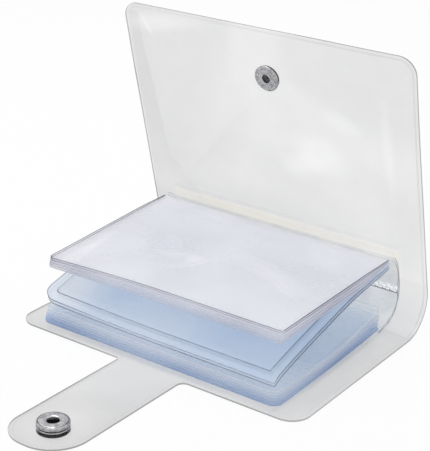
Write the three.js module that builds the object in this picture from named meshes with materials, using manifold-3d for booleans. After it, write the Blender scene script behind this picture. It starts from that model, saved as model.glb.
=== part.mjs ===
// A clear photocard binder: a flexible sheet cover that stands half open, a block of welded
// pocket leaves in it, and a closing strap with a ring snap. Millimetres, +Z up.
// Origin: middle of the back cover's underside. +X runs along the spine, +Y from the
// fore edge to the spine.
import * as THREE from 'three';
import { mergeVertices } from 'three/addons/utils/BufferGeometryUtils.js';
import Module from 'manifold-3d';

const wasm = await Module();
wasm.setup();

const degrees = Math.PI / 180;

// Cover sheet
const coverLength = 114;
const sheet = 0.7;
const foreEdgeY = -41;
const coverReach = 103.1; // free edge of the front cover, from where both covers' faces would meet
const coverLean = 13.65 * degrees; // the standing cover leans over the leaves
const bendStartY = 26.75;
const bendRadius = 12;
const bendSections = 5;
const foldHeight = 29; // fold line that the front cover closes on, above the same meeting line
const foldGap = 0.3; // between two parts of the sheet at a fold line that lies flat
const foldClearance = 0.1; // between two parts of it where they meet at an angle
const backCornerRadius = 7;
const frontCornerRadius = 6;
const cornerSteps = 5;

// Closed binder: the cover slopes down from the spine to the fore edge
const closedSlope = 4 * degrees;

// Leaves: two films welded round a pocket
const leafLength = 94;
const film = 0.2;
const pocketGap = 0.2;
const leafCornerRadius = 2.5;
const profileSteps = 6;

const topLeaves = {
  count: 4, pitch: 1.1, foreY: -35.6, foreStep: -0.25, spineY: 26.2,
  foreZ: 26.1, spineZ: 26.9, bowY: -5, bowZ: 26.5,
};
const middleLeaves = {
  count: 2, pitch: 1.3, foreY: -39.6, foreStep: 0.5, spineY: 21.9,
  foreZ: 10.9, spineZ: 21.5, bowY: -14, bowZ: 21.1,
};
const lowerLeaves = {
  count: 6, pitch: 1.03, foreY: -38.2, foreStep: 0.15, spineY: 23.6,
  foreZ: 6.6, spineZ: 11.3, bowY: 6, bowZ: 3.75, spinePitch: 1.62, bowPitch: 0.4,
};

// Welded spine of the leaf block
const weldRadius = 1;
const weldSides = 12;
const marginThickness = 0.5;
const filmThickness = 0.4;
const weldSeat = 0.05; // clearance of a weld on the film that it joins
const turningSeat = 0.7; // the same for the topmost weld, which turns a little as the cover closes
const topWeld = { y: 27.6, z: 24.9, marginZ: 23.4 };
const middleWeld = { y: 23.6, z: 20.1, marginZ: 19.4 };
const lowerWeld = { y: 25.2, z: 7.1, marginZ: 8.4 };
const spineFilmPath = [
  [30.7, 26.3], [33.4, 24], [35.2, 20.6], [36.1, 16.6], [36.5, 12.2],
  [36.1, 8.3], [34.2, 5.4], [30.6, 3.1], [24.5, 1.45],
];
const spineFilmSteps = 18;
const knurlHeight = 2.2;
const knurlDepth = 0.9;
const knurlZ = 13;
const lowerFlangeWidth = 12;
const lowerFlangeEndY = 26;
const upperFlangeStart = 16.5;
const upperFlangeWeld = 1.6; // weld line along the flange's upper edge
const flangeFoldClearance = 0.6;

// Strap
const strapWidth = 25.6;
const strapTail = 12.8; // sheet past the snap's centre
const snapX = 0.8; // strap and snap sit a little off the middle
const strapFoldGap = 0.2; // fold line in front of the back cover's edge
const strapFilletRight = 2.5;
const strapFilletLeft = 1.2;

// Ring snap
const snapFromFreeEdge = 18.2;
const socketDiameter = 10.3;
const socketHeight = 2.6;
const socketBore = 3.7;
const socketFloor = 0.5;
const socketFoot = 0.3; // the lower rim stands off the strap
const socketRim = 0.85; // top of the lower rim
const socketBody = 1.25; // underside of the body over it
const socketWaist = 0.3; // depth of the groove between rim and body
const socketCrown = 0.6; // rounded upper edge
const springGroove = 0.75;
const springWire = 0.4;
const springZ = 1.55;
const capHeight = 0.5;
const capClearance = 0.12;
const postDiameter = 9.3;
const postHeight = 0.8;
const postRecess = 3;
const postRecessDepth = 0.55;
const barrelDiameter = 2.2;
const snapClearance = 0.3;
const matedClearance = 0.15;
const studFlangeDiameter = 8.6;
const studFlange = 0.35;
const studDiameter = 3.3;
const studWaist = 2.9;
const studHeight = 2;
const roundSides = 32;

// Worked out from the sizes above
const bendTurn = Math.PI / 2 + coverLean;
const bendReach = bendRadius * Math.tan(bendTurn / 2);
const meetingY = bendStartY + bendReach;
const bendStep = bendTurn / bendSections;
const bendGap = foldClearance + 2 * sheet * Math.tan(bendStep / 2);
const leafThickness = 2 * film + pocketGap;
const snapHeightOnCover = coverReach - snapFromFreeEdge;
const matedHeight = socketHeight + studFlange + matedClearance;
const strapFoldY = foreEdgeY - strapFoldGap;

const colours = {
  cover: new THREE.MeshStandardMaterial({ color: 0xdfe2e6, roughness: 0.12, transparent: true, opacity: 0.45 }),
  leaf: new THREE.MeshStandardMaterial({ color: 0xb9c9e2, roughness: 0.15, transparent: true, opacity: 0.5 }),
  spine: new THREE.MeshStandardMaterial({ color: 0xd5dee6, roughness: 0.25, transparent: true, opacity: 0.6 }),
  weld: new THREE.MeshStandardMaterial({ color: 0xf1f3f5, roughness: 0.45 }),
  flange: new THREE.MeshStandardMaterial({ color: 0xe9e4d8, roughness: 0.3, transparent: true, opacity: 0.7 }),
  metal: new THREE.MeshStandardMaterial({ color: 0xc9c9cc, roughness: 0.2, metalness: 1 }),
};

const binder = new THREE.Group();

function add(name, geometry, material, parent = binder) {
  const mesh = new THREE.Mesh(geometry, material);
  mesh.name = name;
  parent.add(mesh);
  return mesh;
}

// A closed geometry as a solid that can be joined or cut
function solid(geometry) {
  const bare = geometry.clone();
  bare.deleteAttribute('normal');
  bare.deleteAttribute('uv');
  const merged = mergeVertices(bare, 1e-4);
  return new wasm.Manifold(new wasm.Mesh({
    numProp: 3,
    vertProperties: new Float32Array(merged.attributes.position.array),
    triVerts: new Uint32Array(merged.index.array),
  }));
}

function geometryOf(body) {
  const mesh = body.getMesh();
  const geometry = new THREE.BufferGeometry();
  geometry.setAttribute('position', new THREE.BufferAttribute(new Float32Array(mesh.vertProperties), 3));
  geometry.setIndex(new THREE.BufferAttribute(new Uint32Array(mesh.triVerts), 1));
  return geometry;
}

// An outline of [y, z] points carried along X, centred on X = 0
function alongSpine(outline, length) {
  const shape = new THREE.Shape(outline.map(([y, z]) => new THREE.Vector2(y, z)));
  const geometry = new THREE.ExtrudeGeometry(shape, { depth: length, bevelEnabled: false });
  geometry.translate(0, 0, -length / 2);
  const basis = new THREE.Matrix4().makeBasis(
    new THREE.Vector3(0, 1, 0), new THREE.Vector3(0, 0, 1), new THREE.Vector3(1, 0, 0));
  return geometry.applyMatrix4(basis);
}

// The outline of a strip between two offsets from a path, up being positive
function stripOutline(path, low, high) {
  const normals = path.map((point, i) => {
    const before = path[Math.max(i - 1, 0)];
    const after = path[Math.min(i + 1, path.length - 1)];
    const along = new THREE.Vector2(after[0] - before[0], after[1] - before[1]).normalize();
    return [-along.y, along.x];
  });
  const at = (offset) => path.map(([y, z], i) => [y + normals[i][0] * offset, z + normals[i][1] * offset]);
  return [...at(low), ...at(high).reverse()];
}

function curvePoints(curve, steps) {
  return curve.getPoints(steps).map((p) => [p.x, p.y]);
}

// A plate in the XY plane from y0 to y1 with rounded corners at the y1 end
function roundedPlate(width, y0, y1, radius, z0, z1) {
  const half = width / 2;
  const shape = new THREE.Shape();
  shape.moveTo(-half, y0);
  shape.lineTo(half, y0);
  if (y1 > y0) {
    shape.lineTo(half, y1 - radius);
    shape.absarc(half - radius, y1 - radius, radius, 0, Math.PI / 2, false);
    shape.lineTo(-half + radius, y1);
    shape.absarc(-half + radius, y1 - radius, radius, Math.PI / 2, Math.PI, false);
  } else {
    shape.lineTo(half, y1 + radius);
    shape.absarc(half - radius, y1 + radius, radius, 0, -Math.PI / 2, true);
    shape.lineTo(-half + radius, y1);
    shape.absarc(-half + radius, y1 + radius, radius, -Math.PI / 2, -Math.PI, true);
  }
  shape.closePath();
  const geometry = new THREE.ExtrudeGeometry(shape, { depth: z1 - z0, bevelEnabled: false, curveSegments: cornerSteps });
  return geometry.translate(0, 0, z0);
}

function box(width, y0, y1, z0, z1) {
  return new THREE.BoxGeometry(width, y1 - y0, z1 - z0).translate(0, (y0 + y1) / 2, (z0 + z1) / 2);
}

// A turned piece about the Z axis from a closed [radius, z] profile
function turned(profile) {
  const points = [...profile, profile[0]].map(([r, z]) => new THREE.Vector2(r, z));
  return new THREE.LatheGeometry(points, roundSides).rotateX(Math.PI / 2);
}

// A round hole at a place on the cover or strap, through its whole thickness
function withHole(geometry, x, y, diameter, z0, z1) {
  const cutter = new THREE.CylinderGeometry(diameter / 2, diameter / 2, z1 - z0 + 2, roundSides)
    .rotateX(Math.PI / 2).translate(x, y, (z0 + z1) / 2);
  return geometryOf(solid(geometry).subtract(solid(cutter)));
}

// Frame of the standing cover: y up along its face, z from the outer face towards the leaves
const standing = new THREE.Group();
standing.position.set(0, meetingY, 0);
standing.rotation.x = bendTurn;
binder.add(standing);

function makeCover() {
  const back = roundedPlate(coverLength, bendStartY - bendGap / 2, foreEdgeY, backCornerRadius, 0, sheet);
  add('back_cover', back, colours.cover);
  const chord = 2 * bendRadius * Math.sin(bendStep / 2);
  for (let i = 0; i < bendSections; i++) {
    const section = box(coverLength, bendGap / 2, chord - bendGap / 2, 0, sheet);
    const mesh = add(`cover_spine_${i + 1}`, section, colours.cover);
    const turn = i * bendStep;
    mesh.position.set(0, bendStartY + bendRadius * Math.sin(turn), bendRadius * (1 - Math.cos(turn)));
    mesh.rotation.x = turn + bendStep / 2;
  }
  const spineTop = box(coverLength, bendReach + bendGap / 2, foldHeight - foldGap / 2, 0, sheet);
  add('cover_spine_top', spineTop, colours.cover, standing);
  const front = roundedPlate(coverLength, foldHeight + foldGap / 2, coverReach, frontCornerRadius, 0, sheet);
  const holed = withHole(front, snapX, snapHeightOnCover, barrelDiameter + 2 * snapClearance, 0, sheet);
  add('front_cover', holed, colours.cover, standing);
}

function makeLeaves(group, firstNumber) {
  const spinePitch = group.spinePitch ?? group.pitch;
  const bowPitch = group.bowPitch ?? group.pitch;
  for (let i = 0; i < group.count; i++) {
    const foreY = group.foreY + i * group.foreStep;
    const curve = new THREE.QuadraticBezierCurve(
      new THREE.Vector2(foreY, group.foreZ - i * group.pitch),
      new THREE.Vector2(group.bowY, group.bowZ - i * bowPitch),
      new THREE.Vector2(group.spineY, group.spineZ - i * spinePitch));
    const path = curvePoints(curve, profileSteps);
    const plan = solid(roundedPlate(leafLength, group.spineY + 1, foreY, leafCornerRadius, -2, 40));
    const name = `leaf_${String(firstNumber + i).padStart(2, '0')}`;
    const films = { front: [pocketGap / 2, leafThickness / 2], back: [-leafThickness / 2, -pocketGap / 2] };
    for (const [side, [low, high]] of Object.entries(films)) {
      const strip = solid(alongSpine(stripOutline(path, low, high), leafLength + 2));
      add(`${name}_${side}_film`, geometryOf(strip.intersect(plan)), colours.leaf);
    }
  }
}

const spineFilmCurve = new THREE.SplineCurve(spineFilmPath.map(([y, z]) => new THREE.Vector2(y, z)));

// The curved film at the spine of the leaf block, wider than it is by a clearance on each face
function spineFilm(clearance, length) {
  const offset = filmThickness / 2 + clearance;
  return alongSpine(stripOutline(curvePoints(spineFilmCurve, spineFilmSteps), -offset, offset), length);
}

// A point in the middle of the spine film at a height, on its long bulging part
function onSpineFilm(z) {
  const bulge = curvePoints(spineFilmCurve, 10 * spineFilmSteps).filter(([y]) => y > topWeld.y);
  return bulge.reduce((best, p) => (Math.abs(p[1] - z) < Math.abs(best[1] - z) ? p : best));
}

// A round weld bead that a group of leaves hangs on, with the margin that joins it to the spine film
function makeWeld(name, bead, clearance) {
  const rod = new THREE.CylinderGeometry(weldRadius, weldRadius, leafLength, weldSides)
    .rotateZ(Math.PI / 2).translate(0, bead.y, bead.z);
  const path = [[bead.y, bead.z], onSpineFilm(bead.marginZ)];
  const margin = alongSpine(stripOutline(path, -marginThickness / 2, marginThickness / 2), leafLength);
  const film = solid(spineFilm(clearance, leafLength + 2));
  add(name, geometryOf(solid(rod).add(solid(margin)).subtract(film)), colours.weld);
}

function makeSpineFilm() {
  add('spine_film', spineFilm(0, leafLength), colours.spine);
  makeWeld('top_leaf_weld', topWeld, turningSeat);
  makeWeld('middle_leaf_weld', middleWeld, weldSeat);
  makeWeld('lower_leaf_weld', lowerWeld, weldSeat);
  const [knurlY] = onSpineFilm(knurlZ);
  const knurl = box(leafLength, knurlY - filmThickness / 2 - knurlDepth, knurlY,
    knurlZ - knurlHeight / 2, knurlZ + knurlHeight / 2);
  add('spine_weld_line', geometryOf(solid(knurl).subtract(solid(spineFilm(weldSeat, leafLength + 2)))), colours.weld);
}

function makeFlanges() {
  const lower = box(leafLength, lowerFlangeEndY - lowerFlangeWidth, lowerFlangeEndY, sheet, sheet + filmThickness);
  add('lower_flange', lower, colours.flange);
  const upper = box(leafLength, upperFlangeStart, foldHeight - foldGap, sheet, sheet + filmThickness);
  add('upper_flange', upper, colours.flange, standing);
  const edgeStart = foldHeight + flangeFoldClearance;
  const edge = box(leafLength, edgeStart, edgeStart + upperFlangeWeld, sheet, sheet + filmThickness);
  add('upper_flange_weld', edge, colours.weld, standing);
}

// Where the closed cover brings the stud, and so how long the strap's two parts are
function strapLengths() {
  const foldY = meetingY - foldHeight * Math.sin(coverLean) - sheet * Math.cos(coverLean);
  const foldZ = foldHeight * Math.cos(coverLean) - sheet * Math.sin(coverLean);
  const along = snapHeightOnCover - foldHeight;
  const above = sheet + matedHeight;
  const y = foldY - along * Math.cos(closedSlope) - above * Math.sin(closedSlope);
  const z = foldZ - along * Math.sin(closedSlope) + above * Math.cos(closedSlope);
  const tab = (y - strapFoldY) / Math.cos(closedSlope);
  return { riser: z - tab * Math.sin(closedSlope) - sheet, tab };
}

function makeStrap() {
  const { riser, tab } = strapLengths();
  const snapY = riser + tab;
  // The snap's cap lies on the table and lifts the strap's end
  const rise = Math.asin((capHeight + capClearance) / snapY);
  const strap = new THREE.Group();
  strap.position.set(snapX, strapFoldY, sheet);
  strap.rotation.set(rise, 0, Math.PI, 'ZYX');
  binder.add(strap);

  const half = strapWidth / 2;
  const start = foldGap / 2;
  const root = new THREE.Shape();
  root.moveTo(-half - strapFilletRight, start);
  root.lineTo(half + strapFilletLeft, start);
  root.quadraticCurveTo(half, start, half, start + strapFilletLeft);
  root.lineTo(half, riser - foldGap / 2);
  root.lineTo(-half, riser - foldGap / 2);
  root.lineTo(-half, start + strapFilletRight);
  root.quadraticCurveTo(-half, start, -half - strapFilletRight, start);
  const riserGeometry = new THREE.ExtrudeGeometry(root, { depth: sheet, bevelEnabled: false, curveSegments: cornerSteps })
    .translate(0, 0, -sheet);
  add('strap_riser', riserGeometry, colours.cover, strap);

  const end = new THREE.Shape();
  const straightEnd = snapY + strapTail - half;
  end.moveTo(-half, riser + foldGap / 2);
  end.lineTo(half, riser + foldGap / 2);
  end.lineTo(half, straightEnd);
  end.absarc(0, straightEnd, half, 0, Math.PI, false);
  const tabGeometry = new THREE.ExtrudeGeometry(end, { depth: sheet, bevelEnabled: false, curveSegments: roundSides / 2 })
    .translate(0, 0, -sheet);
  const holed = withHole(tabGeometry, 0, snapY, barrelDiameter + 2 * snapClearance, -sheet, 0);
  add('strap_tab', holed, colours.cover, strap);

  makeSocket(strap, snapY);
}

function makeSocket(strap, snapY) {
  const outer = socketDiameter / 2;
  const bore = socketBore / 2;
  const groove = bore + springGroove;
  const grooveLow = springZ - springWire;
  const grooveHigh = springZ + springWire;
  const holeRadius = barrelDiameter / 2 + snapClearance;
  const socket = turned([
    [holeRadius, 0], [outer - 2 * socketWaist, 0], [outer - 2 * socketWaist, socketFoot],
    [outer, socketFoot + 0.15], [outer, socketRim - 0.1], [outer - socketWaist, socketRim],
    [outer - socketWaist, socketBody - 0.1], [outer, socketBody + 0.1], [outer, socketHeight - socketCrown],
    [outer - socketCrown / 2, socketHeight - socketCrown / 3], [outer - 1.5 * socketCrown, socketHeight],
    [bore + 0.5, socketHeight - 0.05], [bore, socketHeight - 0.4], [bore, grooveHigh], [groove, grooveHigh],
    [groove, grooveLow], [bore, grooveLow], [bore, socketFloor], [holeRadius, socketFloor],
  ]);
  add('strap_snap_socket', socket, colours.metal, strap).position.y = snapY;

  const springRadius = groove - springWire / 2 - 0.1;
  const spring = new THREE.TorusGeometry(springRadius, springWire / 2, 6, 24).translate(0, 0, springZ);
  add('strap_snap_spring', spring, colours.metal, strap).position.y = snapY;

  const barrel = barrelDiameter / 2;
  const cap = turned([
    [0, socketFloor - snapClearance / 2], [0, -sheet - capHeight], [outer * 0.6, -sheet - capHeight + 0.05],
    [outer * 0.9, -sheet - capHeight * 0.6], [outer, -sheet - capHeight * 0.2], [outer, -sheet],
    [barrel, -sheet], [barrel, socketFloor - snapClearance / 2],
  ]);
  add('strap_snap_cap', cap, colours.metal, strap).position.y = snapY;
}

function makeCoverSnap() {
  const outer = postDiameter / 2;
  const barrel = barrelDiameter / 2;
  const recess = postRecess / 2;
  const top = sheet + postHeight;
  const tip = -studFlange - studHeight;
  const post = turned([
    [0, tip + 1.1], [barrel, tip + 1.1], [barrel, sheet], [outer, sheet], [outer, sheet + 0.3],
    [outer - 0.7, top - 0.1], [recess + 1, top], [recess, top - 0.15], [recess, top - postRecessDepth],
    [0, top - postRecessDepth],
  ]);
  add('cover_snap_post', post, colours.metal, standing).position.set(snapX, snapHeightOnCover, 0);

  const bore = barrel + snapClearance;
  const stud = turned([
    [0, tip], [studDiameter / 2 - 0.35, tip], [studDiameter / 2, tip + 0.35], [studDiameter / 2, tip + 0.9],
    [studWaist / 2 + 0.1, tip + 1.3], [studWaist / 2 + 0.1, -studFlange], [studFlangeDiameter / 2, -studFlange],
    [studFlangeDiameter / 2, 0], [bore, 0], [bore, tip + 1.1 - snapClearance], [0, tip + 1.1 - snapClearance],
  ]);
  add('cover_snap_stud', stud, colours.metal, standing).position.set(snapX, snapHeightOnCover, 0);
}

makeCover();
makeLeaves(topLeaves, 1);
makeLeaves(middleLeaves, 1 + topLeaves.count);
makeLeaves(lowerLeaves, 1 + topLeaves.count + middleLeaves.count);
makeSpineFilm();
makeFlanges();
makeStrap();
makeCoverSnap();

export default binder;
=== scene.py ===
"""A clear photocard binder: cover sheet with a strap, three groups of leaves, welded spine and ring snap."""
import logging
import math
from dataclasses import dataclass
from enum import Enum
from functools import cache
from typing import Callable, Sequence

import bmesh
import bpy
import numpy as np
from mathutils import Matrix, Vector, noise


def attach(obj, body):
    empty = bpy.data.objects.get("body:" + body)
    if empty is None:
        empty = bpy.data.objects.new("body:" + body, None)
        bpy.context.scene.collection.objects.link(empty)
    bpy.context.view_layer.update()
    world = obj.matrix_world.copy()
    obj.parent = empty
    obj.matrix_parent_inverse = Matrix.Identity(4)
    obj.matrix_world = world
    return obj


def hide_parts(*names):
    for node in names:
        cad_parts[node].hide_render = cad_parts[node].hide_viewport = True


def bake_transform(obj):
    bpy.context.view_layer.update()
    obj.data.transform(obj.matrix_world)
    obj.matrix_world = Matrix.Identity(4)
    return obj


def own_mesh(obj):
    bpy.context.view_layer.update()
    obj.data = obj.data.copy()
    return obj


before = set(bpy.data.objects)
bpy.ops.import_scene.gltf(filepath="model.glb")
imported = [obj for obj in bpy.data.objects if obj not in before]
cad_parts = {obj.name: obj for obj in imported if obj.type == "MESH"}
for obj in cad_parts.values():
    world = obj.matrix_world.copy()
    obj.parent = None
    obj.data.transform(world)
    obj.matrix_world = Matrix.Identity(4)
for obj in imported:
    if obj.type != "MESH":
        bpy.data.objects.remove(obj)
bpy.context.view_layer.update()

log = logging.getLogger("binder")
MM = 0.001
NEAR = 0.01
Test = Callable[[Vector, Vector], bool]


class Pick(Enum):
    """What a selection in edit mode is made of."""

    POINTS = "VERT"
    EDGES = "EDGE"
    FACES = "FACE"


class Axis(Enum):
    """The axis that a cut is square to."""

    X = 0
    Y = 1


class Bench:
    """The modelling operators that the pieces are made with, in millimetres.

    The cut threshold is small, so that a cut is made at its own place and not at a point near by. The others
    say how near to a cut its end face lies, how square to Y it is, and how close two points of a turned piece
    are merged.
    """

    cut_threshold = 1e-6
    end_reach = 0.02
    end_square = 0.9
    merge_distance = 0.0005

    @staticmethod
    def clear() -> None:
        """Leaves edit mode and deselects everything."""
        if bpy.context.mode != "OBJECT":
            bpy.ops.object.mode_set(mode="OBJECT")
        bpy.ops.object.select_all(action="DESELECT")

    @staticmethod
    def take(piece: bpy.types.Object) -> None:
        """Makes a piece the only one selected.

        Args:
            piece: The piece.
        """
        Bench.clear()
        piece.select_set(True)
        bpy.context.view_layer.objects.active = piece

    @staticmethod
    def name_active(name: str) -> bpy.types.Object:
        """Names the active object and its mesh.

        Args:
            name: The piece's name.

        Returns:
            The piece.
        """
        piece = bpy.context.object
        piece.name = name
        piece.data.name = name
        return piece

    @staticmethod
    def plate(name: str, width: float, low: float, high: float) -> bpy.types.Object:
        """Adds a flat plate centred on X = 0.

        Args:
            name: The piece's name.
            width: Its size along X.
            low: Its lowest Y.
            high: Its highest Y.

        Returns:
            The new piece, with its place in its mesh.
        """
        Bench.clear()
        bpy.ops.mesh.primitive_plane_add(size=1, location=(0, (low + high) / 2 * MM, 0))
        piece = Bench.name_active(name)
        piece.scale = (width * MM, (high - low) * MM, 1)
        bpy.ops.object.transform_apply(location=True, rotation=True, scale=True)
        return piece

    @staticmethod
    def edit(piece: bpy.types.Object) -> None:
        """Opens a piece in edit mode with nothing selected.

        Args:
            piece: The piece.
        """
        Bench.take(piece)
        bpy.ops.object.mode_set(mode="EDIT")
        bpy.ops.mesh.select_all(action="DESELECT")

    @staticmethod
    def pick(piece: bpy.types.Object, kind: Pick, test: Test) -> None:
        """Selects parts of the open mesh by their place and normal.

        Args:
            piece: The piece that is open in edit mode.
            kind: Points, edges or faces.
            test: Says from a middle point in millimetres and a normal whether a part is taken.
        """
        bpy.ops.mesh.select_mode(type=kind.value)
        bpy.ops.mesh.select_all(action="DESELECT")
        shape = bmesh.from_edit_mesh(piece.data)
        if kind is Pick.POINTS:
            parts = [(v, v.co, v.normal) for v in shape.verts]
        elif kind is Pick.EDGES:
            parts = [(e, (e.verts[0].co + e.verts[1].co) / 2, e.verts[0].normal) for e in shape.edges]
        else:
            parts = [(f, f.calc_center_median(), f.normal) for f in shape.faces]
        for part, place, normal in parts:
            if test(place / MM, normal):
                part.select_set(True)
        shape.select_flush_mode()
        bmesh.update_edit_mesh(piece.data)

    @staticmethod
    def paint(piece: bpy.types.Object, index: int) -> None:
        """Gives the selected faces of the open mesh a material slot.

        Args:
            piece: The piece that is open in edit mode.
            index: The slot.
        """
        shape = bmesh.from_edit_mesh(piece.data)
        for face in shape.faces:
            if face.select:
                face.material_index = index
        bmesh.update_edit_mesh(piece.data)

    @staticmethod
    def paint_where(piece: bpy.types.Object, test: Test, index: int) -> None:
        """Gives the faces that pass a test a material slot.

        Args:
            piece: The piece that is open in edit mode.
            test: Says from a middle point in millimetres and a normal whether a face is taken.
            index: The slot.
        """
        Bench.pick(piece, Pick.FACES, test)
        Bench.paint(piece, index)

    @staticmethod
    def move(x: float = 0.0, y: float = 0.0, z: float = 0.0) -> None:
        """Moves what is selected in edit mode."""
        bpy.ops.transform.translate(value=(x * MM, y * MM, z * MM))

    @staticmethod
    def inset(thickness: float, each: bool = False) -> None:
        """Insets the selected faces, as one region or each on its own."""
        bpy.ops.mesh.inset(thickness=thickness * MM, depth=0, use_individual=each)

    @staticmethod
    def face_outwards() -> None:
        """Recalculates the normals of the whole open mesh."""
        bpy.ops.mesh.select_all(action="SELECT")
        bpy.ops.mesh.normals_make_consistent(inside=False)

    @staticmethod
    def thicken(thickness: float) -> None:
        """Extrudes the open flat mesh upwards into a closed slab.

        Args:
            thickness: The slab's thickness.
        """
        bpy.ops.mesh.select_all(action="SELECT")
        bpy.ops.mesh.extrude_region_move(TRANSFORM_OT_translate={"value": (0, 0, thickness * MM)})
        Bench.face_outwards()

    @staticmethod
    def slice(axis: Axis, places: Sequence[float]) -> None:
        """Cuts the open mesh through at each place along an axis.

        Args:
            axis: The axis that the cuts are square to.
            places: Where they lie along it.
        """
        normal = [0.0, 0.0, 0.0]
        normal[axis.value] = 1.0
        for place in places:
            bpy.ops.mesh.select_all(action="SELECT")
            bpy.ops.mesh.bisect(
                plane_co=[n * place * MM for n in normal], plane_no=normal, threshold=Bench.cut_threshold)

    @staticmethod
    def cut_off(piece: bpy.types.Object, place: float, above: bool, index: int) -> None:
        """Cuts the open mesh square to Y, drops one side and closes the end.

        Args:
            piece: The piece that is open in edit mode.
            place: The Y of the cut.
            above: Whether the side with the higher Y is dropped.
            index: The material slot of the end face.
        """
        bpy.ops.mesh.select_all(action="SELECT")
        bpy.ops.mesh.bisect(
            plane_co=(0, place * MM, 0), plane_no=(0, 1, 0), use_fill=True,
            clear_outer=above, clear_inner=not above, threshold=Bench.cut_threshold)
        Bench.paint_where(piece, lambda p, n: (
            abs(p.y - place) < Bench.end_reach and abs(n.y) > Bench.end_square), index)

    @staticmethod
    def copy(piece: bpy.types.Object, name: str) -> bpy.types.Object:
        """Duplicates a piece with its own mesh.

        Args:
            piece: The piece.
            name: The copy's name.

        Returns:
            The copy.
        """
        Bench.take(piece)
        bpy.ops.object.duplicate(linked=False)
        return Bench.name_active(name)

    @staticmethod
    def turn_profile(name: str, profile: Sequence[tuple[float, float]], steps: int = 64) -> bpy.types.Object:
        """Turns a profile about the Z axis.

        Args:
            name: The piece's name.
            profile: Its [radius, height] points, in order.
            steps: How many steps make the full turn.

        Returns:
            The turned piece, closed and facing outwards.
        """
        Bench.clear()
        bpy.ops.mesh.primitive_plane_add(size=MM)
        piece = Bench.name_active(name)
        Bench.edit(piece)
        bpy.ops.mesh.select_mode(type="VERT")
        bpy.ops.mesh.select_all(action="SELECT")
        bpy.ops.mesh.merge(type="CENTER")
        Bench.move(profile[0][0], 0, profile[0][1])
        for (r0, z0), (r1, z1) in zip(profile, profile[1:]):
            step = ((r1 - r0) * MM, 0, (z1 - z0) * MM)
            bpy.ops.mesh.extrude_vertices_move(TRANSFORM_OT_translate={"value": step})
        if profile[0][0] > 0 or profile[-1][0] > 0:
            bpy.ops.mesh.select_mode(type="VERT")
            shape = bmesh.from_edit_mesh(piece.data)
            for vert in shape.verts:
                vert.select_set(len(vert.link_edges) == 1)
            shape.select_flush_mode()
            bmesh.update_edit_mesh(piece.data)
            bpy.ops.mesh.edge_face_add()
        bpy.ops.mesh.select_all(action="SELECT")
        bpy.ops.mesh.spin(steps=steps, angle=math.tau, center=(0, 0, 0), axis=(0, 0, 1))
        bpy.ops.mesh.select_all(action="SELECT")
        bpy.ops.mesh.remove_doubles(threshold=Bench.merge_distance * MM)
        bpy.ops.mesh.normals_make_consistent(inside=False)
        Bench.clear()
        return piece

    @staticmethod
    def smooth(piece: bpy.types.Object, degrees: float) -> None:
        """Shades a piece smooth except at edges sharper than an angle.

        Args:
            piece: The piece.
            degrees: The angle.
        """
        Bench.take(piece)
        bpy.ops.object.shade_smooth_by_angle(angle=math.radians(degrees))
        Bench.clear()

    @staticmethod
    def place(piece: bpy.types.Object, frame_matrix: Matrix) -> None:
        """Puts a piece's place into its mesh."""
        piece.data.transform(frame_matrix)
        piece.data.update()

    @staticmethod
    def shift(piece: bpy.types.Object, move: Callable[[np.ndarray], np.ndarray]) -> None:
        """Moves a piece's points by a rule.

        Args:
            piece: The piece.
            move: Takes the points in millimetres, one a row, and returns them moved.
        """
        count = len(piece.data.vertices)
        flat = np.empty(count * 3)
        piece.data.vertices.foreach_get("co", flat)
        moved = move(flat.reshape(count, 3) / MM) * MM
        piece.data.vertices.foreach_set("co", moved.astype(np.float32).ravel())
        piece.data.update()


class Path:
    """A line in the YZ plane that a flat sheet is laid along, in millimetres."""

    def __init__(self, points: Sequence[tuple[float, float]], start: float = 0.0) -> None:
        """Takes the line's points.

        Args:
            points: Its (y, z) points in order.
            start: The length at its first point.
        """
        self.points = np.array(points, float)
        steps = np.diff(self.points, axis=0)
        lengths = np.hypot(steps[:, 0], steps[:, 1])
        self.run = start + np.concatenate([[0.0], np.cumsum(lengths)])
        ways = steps / lengths[:, None]
        around = np.vstack([ways[:1], (ways[1:] + ways[:-1]) / 2, ways[-1:]])
        self.ways = around / np.hypot(around[:, 0], around[:, 1])[:, None]

    @property
    def length(self) -> float:
        """The line's length."""
        return float(self.run[-1] - self.run[0])

    def lay(self, points: np.ndarray) -> np.ndarray:
        """Lays flat points along the line: Y is taken along it, and Z square to it.

        Args:
            points: The flat points, one a row.

        Returns:
            The points in their places.
        """
        s = points[:, 1]
        y = np.interp(s, self.run, self.points[:, 0])
        z = np.interp(s, self.run, self.points[:, 1])
        dy = np.interp(s, self.run, self.ways[:, 0])
        dz = np.interp(s, self.run, self.ways[:, 1])
        size = np.hypot(dy, dz)
        t = points[:, 2]
        return np.column_stack([points[:, 0], y - dz / size * t, z + dy / size * t])


def smooth_line(points: Sequence[tuple[float, float]], steps: int) -> list[tuple[float, float]]:
    """Draws a smooth line through points.

    Args:
        points: The (y, z) points that it passes.
        steps: How many steps it gets between two of them.

    Returns:
        The points of the smooth line.
    """
    def between(p: float, q: float, r: float, s: float, t: float) -> float:
        """One coordinate between the second and third of four points."""
        return 0.5 * (
            2 * q + (r - p) * t + (2 * p - 5 * q + 4 * r - s) * t * t + (3 * q - p - 3 * r + s) * t ** 3)

    ends = [points[0], *points, points[-1]]
    line = []
    for a, b, c, d in zip(ends, ends[1:], ends[2:], ends[3:]):
        for k in range(steps):
            line.append(tuple(between(p, q, r, s, k / steps) for p, q, r, s in zip(a, b, c, d)))
    return [*line, points[-1]]


def ease(t: np.ndarray) -> np.ndarray:
    """Eases a share between 0 and 1 in and out."""
    return t * t * (3 - 2 * t)


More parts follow.
